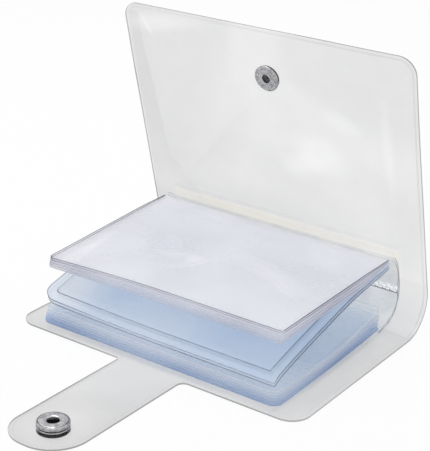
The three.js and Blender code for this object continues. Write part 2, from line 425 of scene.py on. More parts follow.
class Nodes:
    """A node tree with short calls for adding and joining nodes."""

    def __init__(self, tree: bpy.types.NodeTree) -> None:
        """Takes the tree and empties it."""
        self.tree = tree
        tree.nodes.clear()

    def add(self, kind: str, **settings: object) -> bpy.types.Node:
        """Adds a node and sets its properties.

        Args:
            kind: The node's type.
            settings: Its properties.

        Returns:
            The node.
        """
        node = self.tree.nodes.new(kind)
        for key, value in settings.items():
            setattr(node, key, value)
        return node

    def join(self, source: bpy.types.NodeSocket, target: bpy.types.NodeSocket) -> None:
        """Joins an output to an input."""
        self.tree.links.new(source, target)

    def put(self, value: object, target: bpy.types.NodeSocket) -> None:
        """Joins an output to an input, or sets a number there.

        Args:
            value: The output or number.
            target: The input.
        """
        if isinstance(value, bpy.types.NodeSocket):
            self.join(value, target)
        else:
            target.default_value = value

    def math(self, operation: str, a: object, b: object = 0.0) -> bpy.types.NodeSocket:
        """Adds a maths node.

        Args:
            operation: What it does.
            a: Its first output or number.
            b: Its second one.

        Returns:
            The node's output.
        """
        node = self.add("ShaderNodeMath", operation=operation)
        for socket, value in zip(node.inputs, (a, b)):
            self.put(value, socket)
        return node.outputs[0]

    def noise(self, place: bpy.types.NodeSocket, scale: object, detail: float, distortion: float,
              roughness: float = 0.5) -> bpy.types.NodeSocket:
        """Adds a noise texture.

        Args:
            place: The coordinates that it reads.
            scale: Its scale, an output or a number.
            detail: Its detail.
            distortion: Its distortion.
            roughness: Its roughness.

        Returns:
            The texture's value.
        """
        node = self.add("ShaderNodeTexNoise")
        values = {
            "Vector": place, "Scale": scale, "Detail": detail, "Distortion": distortion, "Roughness": roughness}
        for key, value in values.items():
            self.put(value, node.inputs[key])
        return node.outputs["Fac"]

    def remap(self, value: bpy.types.NodeSocket, low: float, high: float,
              to: tuple[float, float]) -> bpy.types.NodeSocket:
        """Maps a range of a value to another range, smoothly and clamped.

        Args:
            value: The value.
            low: Where its range starts.
            high: Where its range ends.
            to: The new range.

        Returns:
            The mapped value.
        """
        node = self.add("ShaderNodeMapRange", interpolation_type="SMOOTHSTEP")
        for key, number in zip(("From Min", "From Max", "To Min", "To Max"), (low, high, *to)):
            node.inputs[key].default_value = number
        self.join(value, node.inputs["Value"])
        return node.outputs["Result"]

    def blend(self, factor: bpy.types.NodeSocket, a: object, b: Sequence[float]) -> bpy.types.NodeSocket:
        """Mixes two colours by a value that changes over the surface.

        Args:
            factor: The value.
            a: The colour at 0, or an output that gives it.
            b: The colour at 1.

        Returns:
            The mixed colour.
        """
        node = self.add("ShaderNodeMix", data_type="RGBA")
        first, second = [socket for socket in node.inputs if socket.type == "RGBA"]
        self.put(a if isinstance(a, bpy.types.NodeSocket) else (*a, 1), first)
        second.default_value = (*b, 1)
        self.join(factor, node.inputs[0])
        return next(socket for socket in node.outputs if socket.type == "RGBA")

    def bump(self, height: bpy.types.NodeSocket, strength: float, distance: float,
             shader: bpy.types.Node) -> None:
        """Adds a bump to a shader.

        Args:
            height: The bump's height.
            strength: Its strength.
            distance: Its depth in millimetres.
            shader: The shader that gets it.
        """
        node = self.add("ShaderNodeBump")
        node.inputs["Strength"].default_value = strength
        node.inputs["Distance"].default_value = distance * MM
        self.join(height, node.inputs["Height"])
        self.join(node.outputs["Normal"], shader.inputs["Normal"])


class Effects:
    """The shader node groups that several finishes share, each built once."""

    @staticmethod
    def group(
            name: str, inputs: dict[str, float], outputs: Sequence[str], vectors: Sequence[str] = ("Vector",),
    ) -> tuple[bpy.types.NodeTree, Nodes, bpy.types.NodeOutputs, bpy.types.NodeInputs]:
        """Starts a group.

        Args:
            name: Its name.
            inputs: Its plain inputs and their values.
            outputs: Its outputs' names.
            vectors: Its vector inputs' names.

        Returns:
            The tree, its nodes, what comes into the group, and what goes out of it.
        """
        tree = bpy.data.node_groups.new(name, "ShaderNodeTree")
        for key in vectors:
            tree.interface.new_socket(key, in_out="INPUT", socket_type="NodeSocketVector")
        for key, value in inputs.items():
            socket = tree.interface.new_socket(key, in_out="INPUT", socket_type="NodeSocketFloat")
            socket.default_value = value
        for key in outputs:
            tree.interface.new_socket(key, in_out="OUTPUT", socket_type="NodeSocketFloat")
        nodes = Nodes(tree)
        start = nodes.add("NodeGroupInput")
        end = nodes.add("NodeGroupOutput")
        return tree, nodes, start.outputs, end.inputs

    @staticmethod
    @cache
    def haze() -> bpy.types.NodeTree:
        """Draws the soft clouds that plasticiser leaves in clear vinyl, with a finer mottle.

        Returns:
            The group, which puts out both as values.
        """
        tree, nodes, given, out = Effects.group(
            "film_haze", {"Scale": 20.0, "Mottle": 160.0}, ["Cloud", "Fine"])
        for key, scale, detail in (("Cloud", "Scale", 2.0), ("Fine", "Mottle", 4.0)):
            nodes.join(nodes.noise(given["Vector"], given[scale], detail, 0.6, 0.45), out[key])
        return tree

    @staticmethod
    @cache
    def crumple() -> bpy.types.NodeTree:
        """Draws the soft dents and fine creases of a thin film.

        Returns:
            The group, which puts out their height.
        """
        tree, nodes, given, out = Effects.group("film_crumple", {"Scale": 40.0, "Crease": 0.5}, ["Height"])
        soft = nodes.noise(given["Vector"], given["Scale"], 1.2, 0.9)
        fold = nodes.noise(given["Vector"], nodes.math("MULTIPLY", given["Scale"], 1.7), 1.0, 2.0)
        ridge = nodes.math("ABSOLUTE", nodes.math("SUBTRACT", fold, 0.5))
        creases = nodes.math("MULTIPLY", nodes.math("SUBTRACT", 0.5, ridge), given["Crease"])
        nodes.join(nodes.math("ADD", soft, creases), out["Height"])
        return tree

    @staticmethod
    @cache
    def glare() -> bpy.types.NodeTree:
        """Draws a soft patch with a ragged edge: one in its middle and nothing a half size away.

        Returns:
            The group, which puts out the patch as a mask.
        """
        tree, nodes, given, out = Effects.group("film_glare", {}, ["Mask"], ["Vector", "Place"])
        reach = nodes.add("ShaderNodeVectorMath", operation="LENGTH")
        nodes.join(given["Vector"], reach.inputs[0])
        ragged = nodes.noise(given["Place"], 70.0, 2.0, 0.3)
        uneven = nodes.math("MULTIPLY", nodes.math("SUBTRACT", ragged, 0.5), 0.4)
        edge = nodes.math("ADD", reach.outputs["Value"], uneven)
        nodes.join(nodes.remap(edge, 0.1, 1.15, (1.0, 0.0)), out["Mask"])
        return tree

    @staticmethod
    @cache
    def wear() -> bpy.types.NodeTree:
        """Draws fine rubbing marks and dull spots on plated metal.

        Returns:
            The group, which puts out both as values.
        """
        tree, nodes, given, out = Effects.group("plating_wear", {"Scale": 900.0}, ["Rub", "Spot"])
        nodes.join(nodes.noise(given["Vector"], given["Scale"], 5.0, 0.4), out["Rub"])
        spot = nodes.add("ShaderNodeTexVoronoi")
        nodes.join(given["Vector"], spot.inputs["Vector"])
        nodes.join(nodes.math("MULTIPLY", given["Scale"], 0.7), spot.inputs["Scale"])
        nodes.join(spot.outputs["Distance"], out["Spot"])
        return tree


@dataclass(frozen=True)
class Patch:
    """A soft patch of painted light on the film, as an ellipse on the surface. The films use such patches for
    painted highlights and reflections, and for painted shade.

    It has a middle, half sizes along X and across, a lean about X and then a turn in its own plane. Its reach
    says how far off its plane it still shows.
    """

    middle: tuple[float, float, float]
    half_sizes: tuple[float, float]
    lean: float = 0.0
    turn: float = 0.0
    gain: float = 1.0
    reach: float = 20.0

    def mask(self, nodes: Nodes, place: bpy.types.NodeSocket) -> bpy.types.NodeSocket:
        """Adds the patch to a material.

        Args:
            nodes: The material's nodes.
            place: The object's coordinates.

        Returns:
            The patch's mask times its gain.
        """
        effect = nodes.add("ShaderNodeGroup", node_tree=Effects.glare())
        turn = nodes.add("ShaderNodeMapping", vector_type="TEXTURE")
        turn.inputs["Location"].default_value = [c * MM for c in self.middle]
        turn.inputs["Rotation"].default_value = (self.lean, 0, 0)
        nodes.join(place, turn.inputs["Vector"])
        flat = nodes.add("ShaderNodeMapping", vector_type="TEXTURE")
        flat.inputs["Rotation"].default_value = (0, 0, math.radians(self.turn))
        flat.inputs["Scale"].default_value = [size * MM for size in (*self.half_sizes, self.reach)]
        nodes.join(turn.outputs["Vector"], flat.inputs["Vector"])
        nodes.join(flat.outputs["Vector"], effect.inputs["Vector"])
        nodes.join(place, effect.inputs["Place"])
        return nodes.math("MULTIPLY", effect.outputs["Mask"], self.gain)


def cover_patch(x: float, height: float, half_x: float, half_height: float, turn: float = 0.0,
                gain: float = 1.0) -> Patch:
    """Makes a patch of painted light on the standing front cover.

    Args:
        x: Its middle's X.
        height: Its middle's height on the cover.
        half_x: Its half size along X.
        half_height: Its half size along the cover's height.
        turn: How far it is turned in the cover, in degrees.
        gain: How strong it is.

    Returns:
        The patch.
    """
    lean = math.radians(90 + COVER_LEAN)
    middle = (x, COVER_MEETING_Y + height * math.cos(lean), height * math.sin(lean))
    return Patch(middle, (half_x, half_height), lean, turn, gain)


class Finish:
    """What the finishes have in common: each makes its material once, from its name."""

    name: str

    def shade(self, nodes: Nodes, shader: bpy.types.Node) -> None:
        """Sets up the material's nodes.

        Args:
            nodes: The material's nodes.
            shader: Its Principled shader.
        """
        raise NotImplementedError

    def material(self) -> bpy.types.Material:
        """Makes the finish's material, unless it is made already.

        Returns:
            The material.
        """
        found = bpy.data.materials.get(self.name)
        if found:
            return found
        made = bpy.data.materials.new(self.name)
        made.use_nodes = True
        nodes = Nodes(made.node_tree)
        out = nodes.add("ShaderNodeOutputMaterial")
        shader = nodes.add("ShaderNodeBsdfPrincipled")
        nodes.join(shader.outputs["BSDF"], out.inputs["Surface"])
        self.shade(nodes, shader)
        return made


@dataclass(frozen=True)
class FilmFinish(Finish):
    """Clear or tinted vinyl: the covers, leaves and welds.

    The tint and the pale tone mix in soft clouds, and solid gives how opaque the film is in the two. The
    class's own values say how the clouds, the finer mottle, the edge's gloss and the least cover are set.
    """

    cloud_range = (0.35, 0.68)
    mottle = 0.03
    edge_refraction = 1.3
    least_solid = 0.02
    pattern_turn = (0.3, 0.2, 0.5)

    name: str
    tint: tuple[float, float, float]
    pale: tuple[float, float, float]
    solid: tuple[float, float]
    edge_gain: float = 0.0
    passes_light: float = 0.8
    roughness: float = 0.08
    refraction: float = 1.9
    haze_scale: float = 20.0
    crumple_scale: float = 40.0
    crumple_depth: float = 0.1
    crease: float = 0.5
    patches: tuple[Patch, ...] = ()
    patch_colour: tuple[float, float, float] = (1.0, 1.0, 1.0)
    patch_solid: float = 0.35
    glow: float = 0.0

    def glare(self, nodes: Nodes, place: bpy.types.NodeSocket) -> bpy.types.NodeSocket | None:
        """Adds up the film's patches of painted highlight and painted shade.

        Args:
            nodes: The material's nodes.
            place: The object's coordinates.

        Returns:
            The mask of all patches, or None where there are none.
        """
        total = None
        for patch in self.patches:
            mask = patch.mask(nodes, place)
            total = mask if total is None else nodes.math("ADD", total, mask)
        return total

    def cover(self, nodes: Nodes, cloud: bpy.types.NodeSocket, fine: bpy.types.NodeSocket,
              glare: bpy.types.NodeSocket | None) -> bpy.types.NodeSocket:
        """Works out how opaque the film is.

        Args:
            nodes: The material's nodes.
            cloud: The soft clouds.
            fine: The finer mottle.
            glare: The mask of the patches, or None.

        Returns:
            The film's cover, less for shadow and diffuse rays, so that light passes it.
        """
        low, high = self.solid
        body = nodes.remap(cloud, 0.0, 1.0, (high, low))
        mottle = nodes.math("MULTIPLY", nodes.math("SUBTRACT", fine, 0.5), self.mottle)
        body = nodes.math("ADD", body, mottle)
        if glare:
            body = nodes.math("ADD", body, nodes.math("MULTIPLY", glare, self.patch_solid))
        if self.edge_gain > 0:
            glance = nodes.add("ShaderNodeFresnel")
            glance.inputs["IOR"].default_value = self.edge_refraction
            body = nodes.math("ADD", body, nodes.math("MULTIPLY", glance.outputs["Fac"], self.edge_gain))
        body = nodes.math("MINIMUM", nodes.math("MAXIMUM", body, self.least_solid), 1.0)
        rays = nodes.add("ShaderNodeLightPath")
        light = nodes.math("MAXIMUM", rays.outputs["Is Shadow Ray"], rays.outputs["Is Diffuse Ray"])
        passed = nodes.math("SUBTRACT", 1.0, nodes.math("MULTIPLY", light, self.passes_light))
        return nodes.math("MULTIPLY", body, passed)

    def shade(self, nodes: Nodes, shader: bpy.types.Node) -> None:
        """Sets up the film.

        Args:
            nodes: The material's nodes.
            shader: Its Principled shader.
        """
        shader.inputs["Roughness"].default_value = self.roughness
        shader.inputs["IOR"].default_value = self.refraction
        # A glow is painted light: emission on a film that is no lamp.
        if self.glow:
            shader.inputs["Emission Color"].default_value = (*self.pale, 1)
            shader.inputs["Emission Strength"].default_value = self.glow
        place = nodes.add("ShaderNodeTexCoord")
        turn = nodes.add("ShaderNodeMapping")
        turn.inputs["Rotation"].default_value = self.pattern_turn
        nodes.join(place.outputs["Object"], turn.inputs["Vector"])
        haze = nodes.add("ShaderNodeGroup", node_tree=Effects.haze())
        haze.inputs["Scale"].default_value = self.haze_scale
        nodes.join(turn.outputs["Vector"], haze.inputs["Vector"])
        cloud = nodes.remap(haze.outputs["Cloud"], *self.cloud_range, (0.0, 1.0))
        colour = nodes.blend(cloud, self.tint, self.pale)
        glare = self.glare(nodes, place.outputs["Object"])
        # Painted light: the patches blend their highlight and shade colour into the film's colour.
        if glare:
            colour = nodes.blend(glare, colour, self.patch_colour)
        nodes.join(colour, shader.inputs["Base Color"])
        nodes.join(self.cover(nodes, cloud, haze.outputs["Fine"], glare), shader.inputs["Alpha"])
        crumple = nodes.add("ShaderNodeGroup", node_tree=Effects.crumple())
        crumple.inputs["Scale"].default_value = self.crumple_scale
        crumple.inputs["Crease"].default_value = self.crease
        nodes.join(turn.outputs["Vector"], crumple.inputs["Vector"])
        nodes.bump(crumple.outputs["Height"], 1.0, self.crumple_depth, shader)


@dataclass(frozen=True)
class SeamFinish(Finish):
    """The hidden ends where two lengths of one sheet meet: nothing shows there."""

    name: str = "sheet_joint_clear"

    def shade(self, nodes: Nodes, shader: bpy.types.Node) -> None:
        """Makes the ends fully clear."""
        shader.inputs["Alpha"].default_value = 0.0


@dataclass(frozen=True)
class PlatingFinish(Finish):
    """Bright nickel plating on pressed brass."""

    rub_range = (0.35, 0.7)
    spot_range = (0.1, 0.8)
    bump_strength = 0.5

    name: str
    light: tuple[float, float, float]
    dark: tuple[float, float, float]
    roughness: tuple[float, float] = (0.16, 0.34)
    bump_depth: float = 0.02

    def shade(self, nodes: Nodes, shader: bpy.types.Node) -> None:
        """Sets up the plating.

        Args:
            nodes: The material's nodes.
            shader: Its Principled shader.
        """
        shader.inputs["Metallic"].default_value = 1.0
        place = nodes.add("ShaderNodeTexCoord")
        wear = nodes.add("ShaderNodeGroup", node_tree=Effects.wear())
        nodes.join(place.outputs["Object"], wear.inputs["Vector"])
        rub = nodes.remap(wear.outputs["Rub"], *self.rub_range, (0.0, 1.0))
        nodes.join(nodes.blend(rub, self.light, self.dark), shader.inputs["Base Color"])
        dull = nodes.remap(wear.outputs["Spot"], *self.spot_range, self.roughness)
        nodes.join(dull, shader.inputs["Roughness"])
        nodes.bump(wear.outputs["Rub"], self.bump_strength, self.bump_depth, shader)


COVER_LEAN = 13.65
COVER_MEETING_Y = 42.013
COVER_HAZE = {"edge_gain": 0.12, "haze_scale": 13.0, "crumple_scale": 18.0, "crumple_depth": 0.25}
TOP_HAZE = {"edge_gain": 0.1, "roughness": 0.25, "refraction": 1.5, "haze_scale": 26.0, "crumple_scale": 18.0,
            "crumple_depth": 0.2, "crease": 0.05}
LEAF_HAZE = {"edge_gain": 0.1, "roughness": 0.3, "refraction": 1.35, "crumple_scale": 14.0,
             "crumple_depth": 0.06, "crease": 0.2}

# Painted highlights and reflections: the patches lighten the standing cover where it catches the soft box and
# mirrors the top leaf; the last one darkens its right side as painted shade.
COVER_FACE = FilmFinish(
    "cover_vinyl_face", (0.28, 0.282, 0.288), (0.40, 0.40, 0.41), (0.10, 0.15), **COVER_HAZE,
    patch_solid=-0.032, patch_colour=(0.66, 0.66, 0.68), patches=(
        cover_patch(-42, 97.5, 24, 4.4, 8, 0.8),
        cover_patch(-48.5, 95.8, 5.5, 1.2, -62),
        cover_patch(19, 60, 14, 9, -12),
        cover_patch(12, 54, 11, 6, 20, 0.8),
        cover_patch(45.3, 66, 2.8, 22, 2, 0.7),
        cover_patch(28, 74, 9, 4, -20, 0.6),
        cover_patch(55, 44, 16, 44, 0, -0.7)))
# Painted shade: a darker, more opaque copy of the cover vinyl for the lying cover, the spine and the strap. Its
# patches paint a bluish contact shadow and reflection of the block along its base and right side, shade on the
# bend, a lighter patch round the snap and a faint bluish patch on the strap.
COVER_LOW = FilmFinish(
    "cover_vinyl_lower_face", (0.24, 0.242, 0.246), (0.34, 0.34, 0.35), (0.12, 0.165), **COVER_HAZE,
    refraction=1.5, patch_solid=0.22, patch_colour=(0.40, 0.50, 0.68), patches=(
        Patch((0, -37.6, 0.5), (54, 2.2), gain=0.6),
        Patch((46.2, -4, 0.5), (2.2, 42), gain=0.6),
        Patch((0, 33, 2), (160, 14), gain=0.2),
        Patch((0.8, -85, 0.5), (13, 15), gain=-0.3),
        Patch((2, -54, 0.5), (20, 17), gain=0.12)))
COVER_RIM = FilmFinish("cover_vinyl_rim_line", (0.20, 0.20, 0.21), (0.25, 0.25, 0.26), (0.2, 0.28))
COVER_EDGE = FilmFinish("cover_vinyl_cut_edge", (0.20, 0.20, 0.21), (0.27, 0.27, 0.28), (0.6, 0.75))
JOINT = SeamFinish()
TOP_FILM = FilmFinish("top_leaf_film", (0.84, 0.84, 0.90), (0.96, 0.96, 0.99), (0.13, 0.2), **TOP_HAZE)
# Painted highlights: the patches whiten the crumpled top leaf where it catches the light.
TOP_COVER_FILM = FilmFinish(
    "top_leaf_outer_film", (0.82, 0.82, 0.88), (0.95, 0.95, 0.98), (0.15, 0.22), **TOP_HAZE, patches=(
        Patch((-4.6, -12.9, 26.6), (4.5, 9), turn=-28, gain=0.45),
        Patch((-9, -10, 26.6), (11, 4), turn=12, gain=0.35),
        Patch((20, -4, 26.6), (26, 6), turn=-19, gain=0.3),
        Patch((30, -10, 26.6), (12, 3), turn=-32, gain=0.2),
        Patch((-20, 12, 26.8), (26, 10), turn=10, gain=0.2)))
TOP_EDGE = FilmFinish("top_leaf_edge", (0.56, 0.57, 0.72), (0.70, 0.70, 0.82), (0.4, 0.55))
TOP_OUTLINE = FilmFinish(
    "top_leaf_outline", (0.05, 0.05, 0.09), (0.10, 0.10, 0.16), (0.8, 0.95), roughness=0.3, refraction=1.35)
TOP_RIM = FilmFinish(
    "top_leaf_rim_line", (0.34, 0.34, 0.45), (0.46, 0.46, 0.56), (0.4, 0.6), roughness=0.3, refraction=1.35)
TOP_WELD = FilmFinish("top_leaf_weld_line", (0.60, 0.61, 0.70), (0.72, 0.72, 0.80), (0.2, 0.3))
# Its patch is painted light: the middle leaves turn paler at their left end, where light comes through the
# block.
MIDDLE_FILM = FilmFinish(
    "middle_leaf_film", (0.50, 0.63, 0.83), (0.66, 0.76, 0.91), (0.28, 0.4), **LEAF_HAZE, haze_scale=16.0,
    patches=(Patch((-43, -33, 12.0), (22, 16), lean=0.6, gain=0.5),))
MIDDLE_EDGE = FilmFinish("middle_leaf_edge", (0.12, 0.17, 0.28), (0.26, 0.32, 0.48), (0.75, 0.9))
MIDDLE_WELD = FilmFinish("middle_leaf_weld_line", (0.10, 0.14, 0.24), (0.2, 0.26, 0.38), (0.7, 0.85))
SPINE_FACE = FilmFinish(
    "spine_film_face", (0.46, 0.60, 0.76), (0.64, 0.76, 0.88), (0.07, 0.11), haze_scale=60.0,
    crumple_scale=120.0, crumple_depth=0.2)
SPINE_EDGE = FilmFinish(
    "spine_film_edge", (0.16, 0.18, 0.21), (0.34, 0.36, 0.40), (0.4, 0.7), haze_scale=260.0)
WELD_CLEAR = FilmFinish(
    "binding_weld_clear", (0.60, 0.66, 0.72), (0.72, 0.76, 0.80), (0.05, 0.10), edge_gain=0.05,
    haze_scale=120.0, crumple_scale=240.0)
# Painted light: the knurl's glow keeps its bumps white in the shade of the leaves.
KNURL = FilmFinish(
    "binding_knurl", (0.96, 0.97, 0.98), (1.0, 1.0, 1.0), (0.85, 0.95), roughness=0.3, glow=0.3,
    haze_scale=300.0, crumple_scale=700.0)
KNURL_FOOT_AND_SHADE = FilmFinish(
    "binding_knurl_foot_and_shade", (0.16, 0.18, 0.21), (0.26, 0.28, 0.31), (0.6, 0.8), roughness=0.3)
# Painted light: the flange's glow makes the cream strip lighter than it would be in the shade behind the block.
FLANGE = FilmFinish(
    "flange_cream_film", (1.0, 0.90, 0.70), (1.0, 0.93, 0.78), (0.14, 0.19), roughness=0.3, refraction=1.3,
    haze_scale=30.0, glow=0.33)
FLANGE_LINE = FilmFinish(
    "flange_weld_line", (1.0, 0.97, 0.90), (1.0, 0.98, 0.93), (0.03, 0.05), roughness=0.5, refraction=1.1)
FLANGE_LOW = FilmFinish(
    "lower_flange_film", (0.86, 0.84, 0.78), (0.92, 0.90, 0.85), (0.08, 0.14), roughness=0.25)
NICKEL = PlatingFinish("snap_nickel", (0.52, 0.52, 0.53), (0.30, 0.30, 0.31))
# Painted shade: a dark copy of the nickel for the bore, the grooves and the sunk middle, where shade falls.
NICKEL_PAINTED_SHADE = PlatingFinish("snap_nickel_recess_painted_shade", (0.10, 0.10, 0.105), (0.05, 0.05, 0.055), (0.3, 0.5))

TOP_FINISHES = (TOP_FILM, TOP_EDGE, TOP_WELD, TOP_RIM)
FIRST_FINISHES = (TOP_COVER_FILM, TOP_EDGE, TOP_WELD, TOP_OUTLINE)
MIDDLE_FINISHES = (MIDDLE_FILM, MIDDLE_EDGE, MIDDLE_WELD, MIDDLE_WELD)
LOWER_COUNT = 6
LOWER_FALL = 1.3


def lower_finishes(index: int) -> tuple[FilmFinish, FilmFinish, FilmFinish]:
    """Makes the finishes of a lower leaf: whitish on top and bluer and darker towards the base of the block, as
    painted shade for the films stacked there.

    Args:
        index: 0 at the group's first leaf.

    Returns:
        The film, edge and weld line.
    """
    # Painted shade: the tint deepens with the leaf's depth in the block.
    depth = (index / (LOWER_COUNT - 1)) ** LOWER_FALL

    def between(a: Sequence[float], b: Sequence[float]) -> tuple[float, ...]:
        """Mixes two colours or ranges by the depth."""
        return tuple(p + (q - p) * depth for p, q in zip(a, b))

    film = FilmFinish(
        f"lower_leaf_film_{index + 1}", between((0.70, 0.80, 0.92), (0.29, 0.45, 0.74)),
        between((0.84, 0.90, 0.97), (0.42, 0.58, 0.86)), between((0.12, 0.2), (0.4, 0.55)), **LEAF_HAZE)
    edge = FilmFinish(
        f"lower_leaf_edge_{index + 1}", between((0.88, 0.90, 1.0), (0.26, 0.39, 0.68)),
        between((0.97, 0.97, 1.0), (0.40, 0.54, 0.80)), between((0.3, 0.42), (0.6, 0.75)), roughness=0.3,
        refraction=1.35)
    weld = FilmFinish(
        f"lower_leaf_weld_{index + 1}", between((0.62, 0.66, 0.78), (0.22, 0.34, 0.60)),
        between((0.72, 0.75, 0.84), (0.30, 0.42, 0.68)), between((0.15, 0.22), (0.4, 0.5)))
    return film, edge, weld


def dress(piece: bpy.types.Object, finishes: Sequence[Finish], slot: str) -> None:
    """Gives a piece its materials and names the record's slot that they stand for.

    Args:
        piece: The piece.
        finishes: One finish for each material slot of its mesh.
        slot: The record's material slot.
    """
    indices = [face.material_index for face in piece.data.polygons]
    piece.data.materials.clear()
    for finish in finishes:
        piece.data.materials.append(finish.material())
    piece.data.polygons.foreach_set("material_index", [min(i, len(finishes) - 1) for i in indices])
    log.info("%s: %s", piece.name, slot)


@dataclass
class CoverSheet:
    """The one sheet that makes the back cover, the spine, the standing front cover and the strap.

    Sizes are in millimetres and angles in radians. Y runs along the flat sheet from the strap's end to the
    front cover's free edge, and heights are measured along the standing cover from where both covers would
    meet. The cuts are the places where the flat sheet is divided, so that it can bend.
    """

    length: float = 114.0
    thickness: float = 0.7
    fore_y: float = -41.0
    bend_y: float = 26.75
    bend_radius: float = 12.0
    lean: float = math.radians(COVER_LEAN)
    reach: float = 103.1
    back_corner: float = 7.0
    front_corner: float = 6.0
    corner_step: float = 1.5
    corner_merge: float = 0.15
    edge_round: float = 0.16
    rim: float = 1.15
    rim_line: float = 0.28
    rim_step: float = 0.06
    strap_width: float = 25.6
    strap_fold_y: float = -41.2
    strap_riser: float = 25.8323
    strap_length: float = 57.8
    strap_rise: float = math.radians(0.7801)
    strap_x: float = 0.8
    strap_droop: float = 0.1
    droop_start: float = 50.0
    droop_length: float = 8.0
    snap_along: float = 45.5404
    snap_height: float = 84.9
    end_corner_left: float = 10.6
    end_corner_right: float = 12.7
    fillet_right: float = 2.5
    fillet_left: float = 1.2
    fillet_steps: int = 5
    sections: int = 5
    bend_steps: int = 104
    bend_cuts: int = 60
    seam_reach: float = 2.2
    fore_seam: float = -33.2
    strap_seam: float = 15.0
    spine_shares: tuple[float, float] = (0.12, 0.88)
    fold_height: float = 29.0
    fold_half: float = 2.5
    cut_pitch: float = 0.5
    fold_cuts: tuple[float, ...] = (26.5, 27.5, 28.3, 29, 29.7, 30.5, 31.5)
    cover_cuts: tuple[int, ...] = tuple(range(36, 104, 5))
    cross_cuts: tuple[int, ...] = tuple(range(-48, 49, 6))
    wave: float = 0.35
    wave_start: float = 4.0
    wave_reach: float = 60.0
    snap_calm: float = 14.0

    @property
    def turn(self) -> float:
        """The whole angle of the bend at the spine."""
        return math.pi / 2 + self.lean

    @property
    def arc(self) -> float:
        """The bend's length along the outer face."""
        return self.bend_radius * self.turn

    @property
    def meeting_y(self) -> float:
        """Where the outer faces of both covers would meet on the table."""
        return self.bend_y + self.bend_reach

    @property
    def bend_reach(self) -> float:
        """The height along the front cover at which its flat part starts."""
        return self.bend_radius * math.tan(self.turn / 2)

    @property
    def strap_end(self) -> float:
        """The Y of the strap's end on the flat sheet."""
        return self.strap_fold_y - self.strap_length

    def flat_of(self, height: float) -> float:
        """Where a height on the standing cover lies on the flat sheet."""
        return self.bend_y + self.arc + height - self.bend_reach

    def standing(self, height: float, depth: float = 0.0) -> tuple[float, float, float]:
        """Finds a point of the standing cover.

        Args:
            height: Its height along the cover.
            depth: Its depth from the outer face.

        Returns:
            The point in metres.
        """
        c, s = math.cos(self.turn), math.sin(self.turn)
        return 0.0, (self.meeting_y + height * c - depth * s) * MM, (height * s + depth * c) * MM

    def strap_point(self, along: float) -> tuple[float, float, float]:
        """A point of the strap's upper face in metres, from how far it is past the fold line."""
        c, s = math.cos(self.strap_rise), math.sin(self.strap_rise)
        return 0.0, (self.strap_fold_y - along * c) * MM, (self.thickness + along * s) * MM

    def strap_height(self, along: float) -> float:
        """How high the strap's underside lies: up to the snap's cap, and drooping past it."""
        droop = min(max((along - self.droop_start) / self.droop_length, 0), 1)
        return along * math.sin(self.strap_rise) - self.strap_droop * droop * droop

    def path(self) -> Path:
        """Draws the sheet's outer face.

        Returns:
            The line from the strap's end to the front cover's free edge.
        """
        far = self.strap_length + 2
        points = [(self.strap_fold_y - d, self.strap_height(d)) for d in np.arange(far, 0.4, -0.5)]
        points += [(self.strap_fold_y + 0.6, 0.0), (self.bend_y - 0.2, 0.0)]
        for k in range(self.bend_steps + 1):
            angle = self.turn * k / self.bend_steps
            points.append((self.bend_y + self.bend_radius * math.sin(angle),
                           self.bend_radius * (1 - math.cos(angle))))
        for height in (self.bend_reach + 0.2, self.reach + 1):
            _, y, z = self.standing(height)
            points.append((y / MM, z / MM))
        return Path(points, self.strap_fold_y - far)

    def outline(self, sheet: bpy.types.Object) -> None:
        """Extrudes the strap from the open flat plate, and rounds the corners and fillets.

        Args:
            sheet: The plate, open in edit mode.
        """
        half, strap = self.length / 2, self.strap_width / 2
        far, top = self.strap_end, self.flat_of(self.reach)
        left, right = self.strap_x - strap, self.strap_x + strap

        def root(p: Vector, n: Vector) -> bool:
            """Whether an edge is the strap's root."""
            return abs(p.x - self.strap_x) < 1 and abs(p.y - self.fore_y) < NEAR

        Bench.slice(Axis.X, (left, right))
        Bench.pick(sheet, Pick.EDGES, root)
        bpy.ops.mesh.extrude_region_move(TRANSFORM_OT_translate={"value": (0, (far - self.fore_y) * MM, 0)})
        Bench.pick(sheet, Pick.EDGES, lambda p, n: (
            min(abs(p.x - left), abs(p.x - right)) < NEAR and p.y > self.fore_y + 1))
        bpy.ops.mesh.dissolve_edges(use_verts=False)
        Bench.pick(sheet, Pick.EDGES, root)
        bpy.ops.mesh.dissolve_edges(use_verts=False)
        corners = (
            (self.fore_y, (-half, half), self.back_corner), (top, (-half, half), self.front_corner),
            (far, (left,), self.end_corner_left), (far, (right,), self.end_corner_right))
        for y, places, radius in corners:
            Bench.pick(sheet, Pick.POINTS, lambda p, n: (
                abs(p.y - y) < NEAR and min(abs(p.x - x) for x in places) < NEAR))
            steps = round(radius * self.corner_step)
            bpy.ops.mesh.bevel(offset=radius * MM, segments=steps, affect="VERTICES", clamp_overlap=False)
        bpy.ops.mesh.select_all(action="SELECT")
        bpy.ops.mesh.remove_doubles(threshold=self.corner_merge * MM)
        for x, radius in ((right, self.fillet_right), (left, self.fillet_left)):
            Bench.pick(sheet, Pick.POINTS, lambda p, n: abs(p.y - self.fore_y) < NEAR and abs(p.x - x) < NEAR)
            bpy.ops.mesh.bevel(offset=radius * MM, segments=self.fillet_steps, affect="VERTICES")

    def cuts(self) -> list[float]:
        """Lists where the flat sheet is cut across, so that it can bend there.

        Returns:
            The cuts' Y: at the strap's root and fold, round the spine, at the cover's fold and up the cover.
        """
        root = [self.fore_y - k * self.cut_pitch for k in range(8)]
        fold = [self.strap_fold_y - self.strap_riser + k * self.cut_pitch for k in range(-5, 6)]
        bend = [self.bend_y + self.arc * k / self.bend_cuts for k in range(self.bend_cuts + 1)]
        cover = [self.flat_of(height) for height in (*self.fold_cuts, *self.cover_cuts)]
        return root + fold + bend + cover

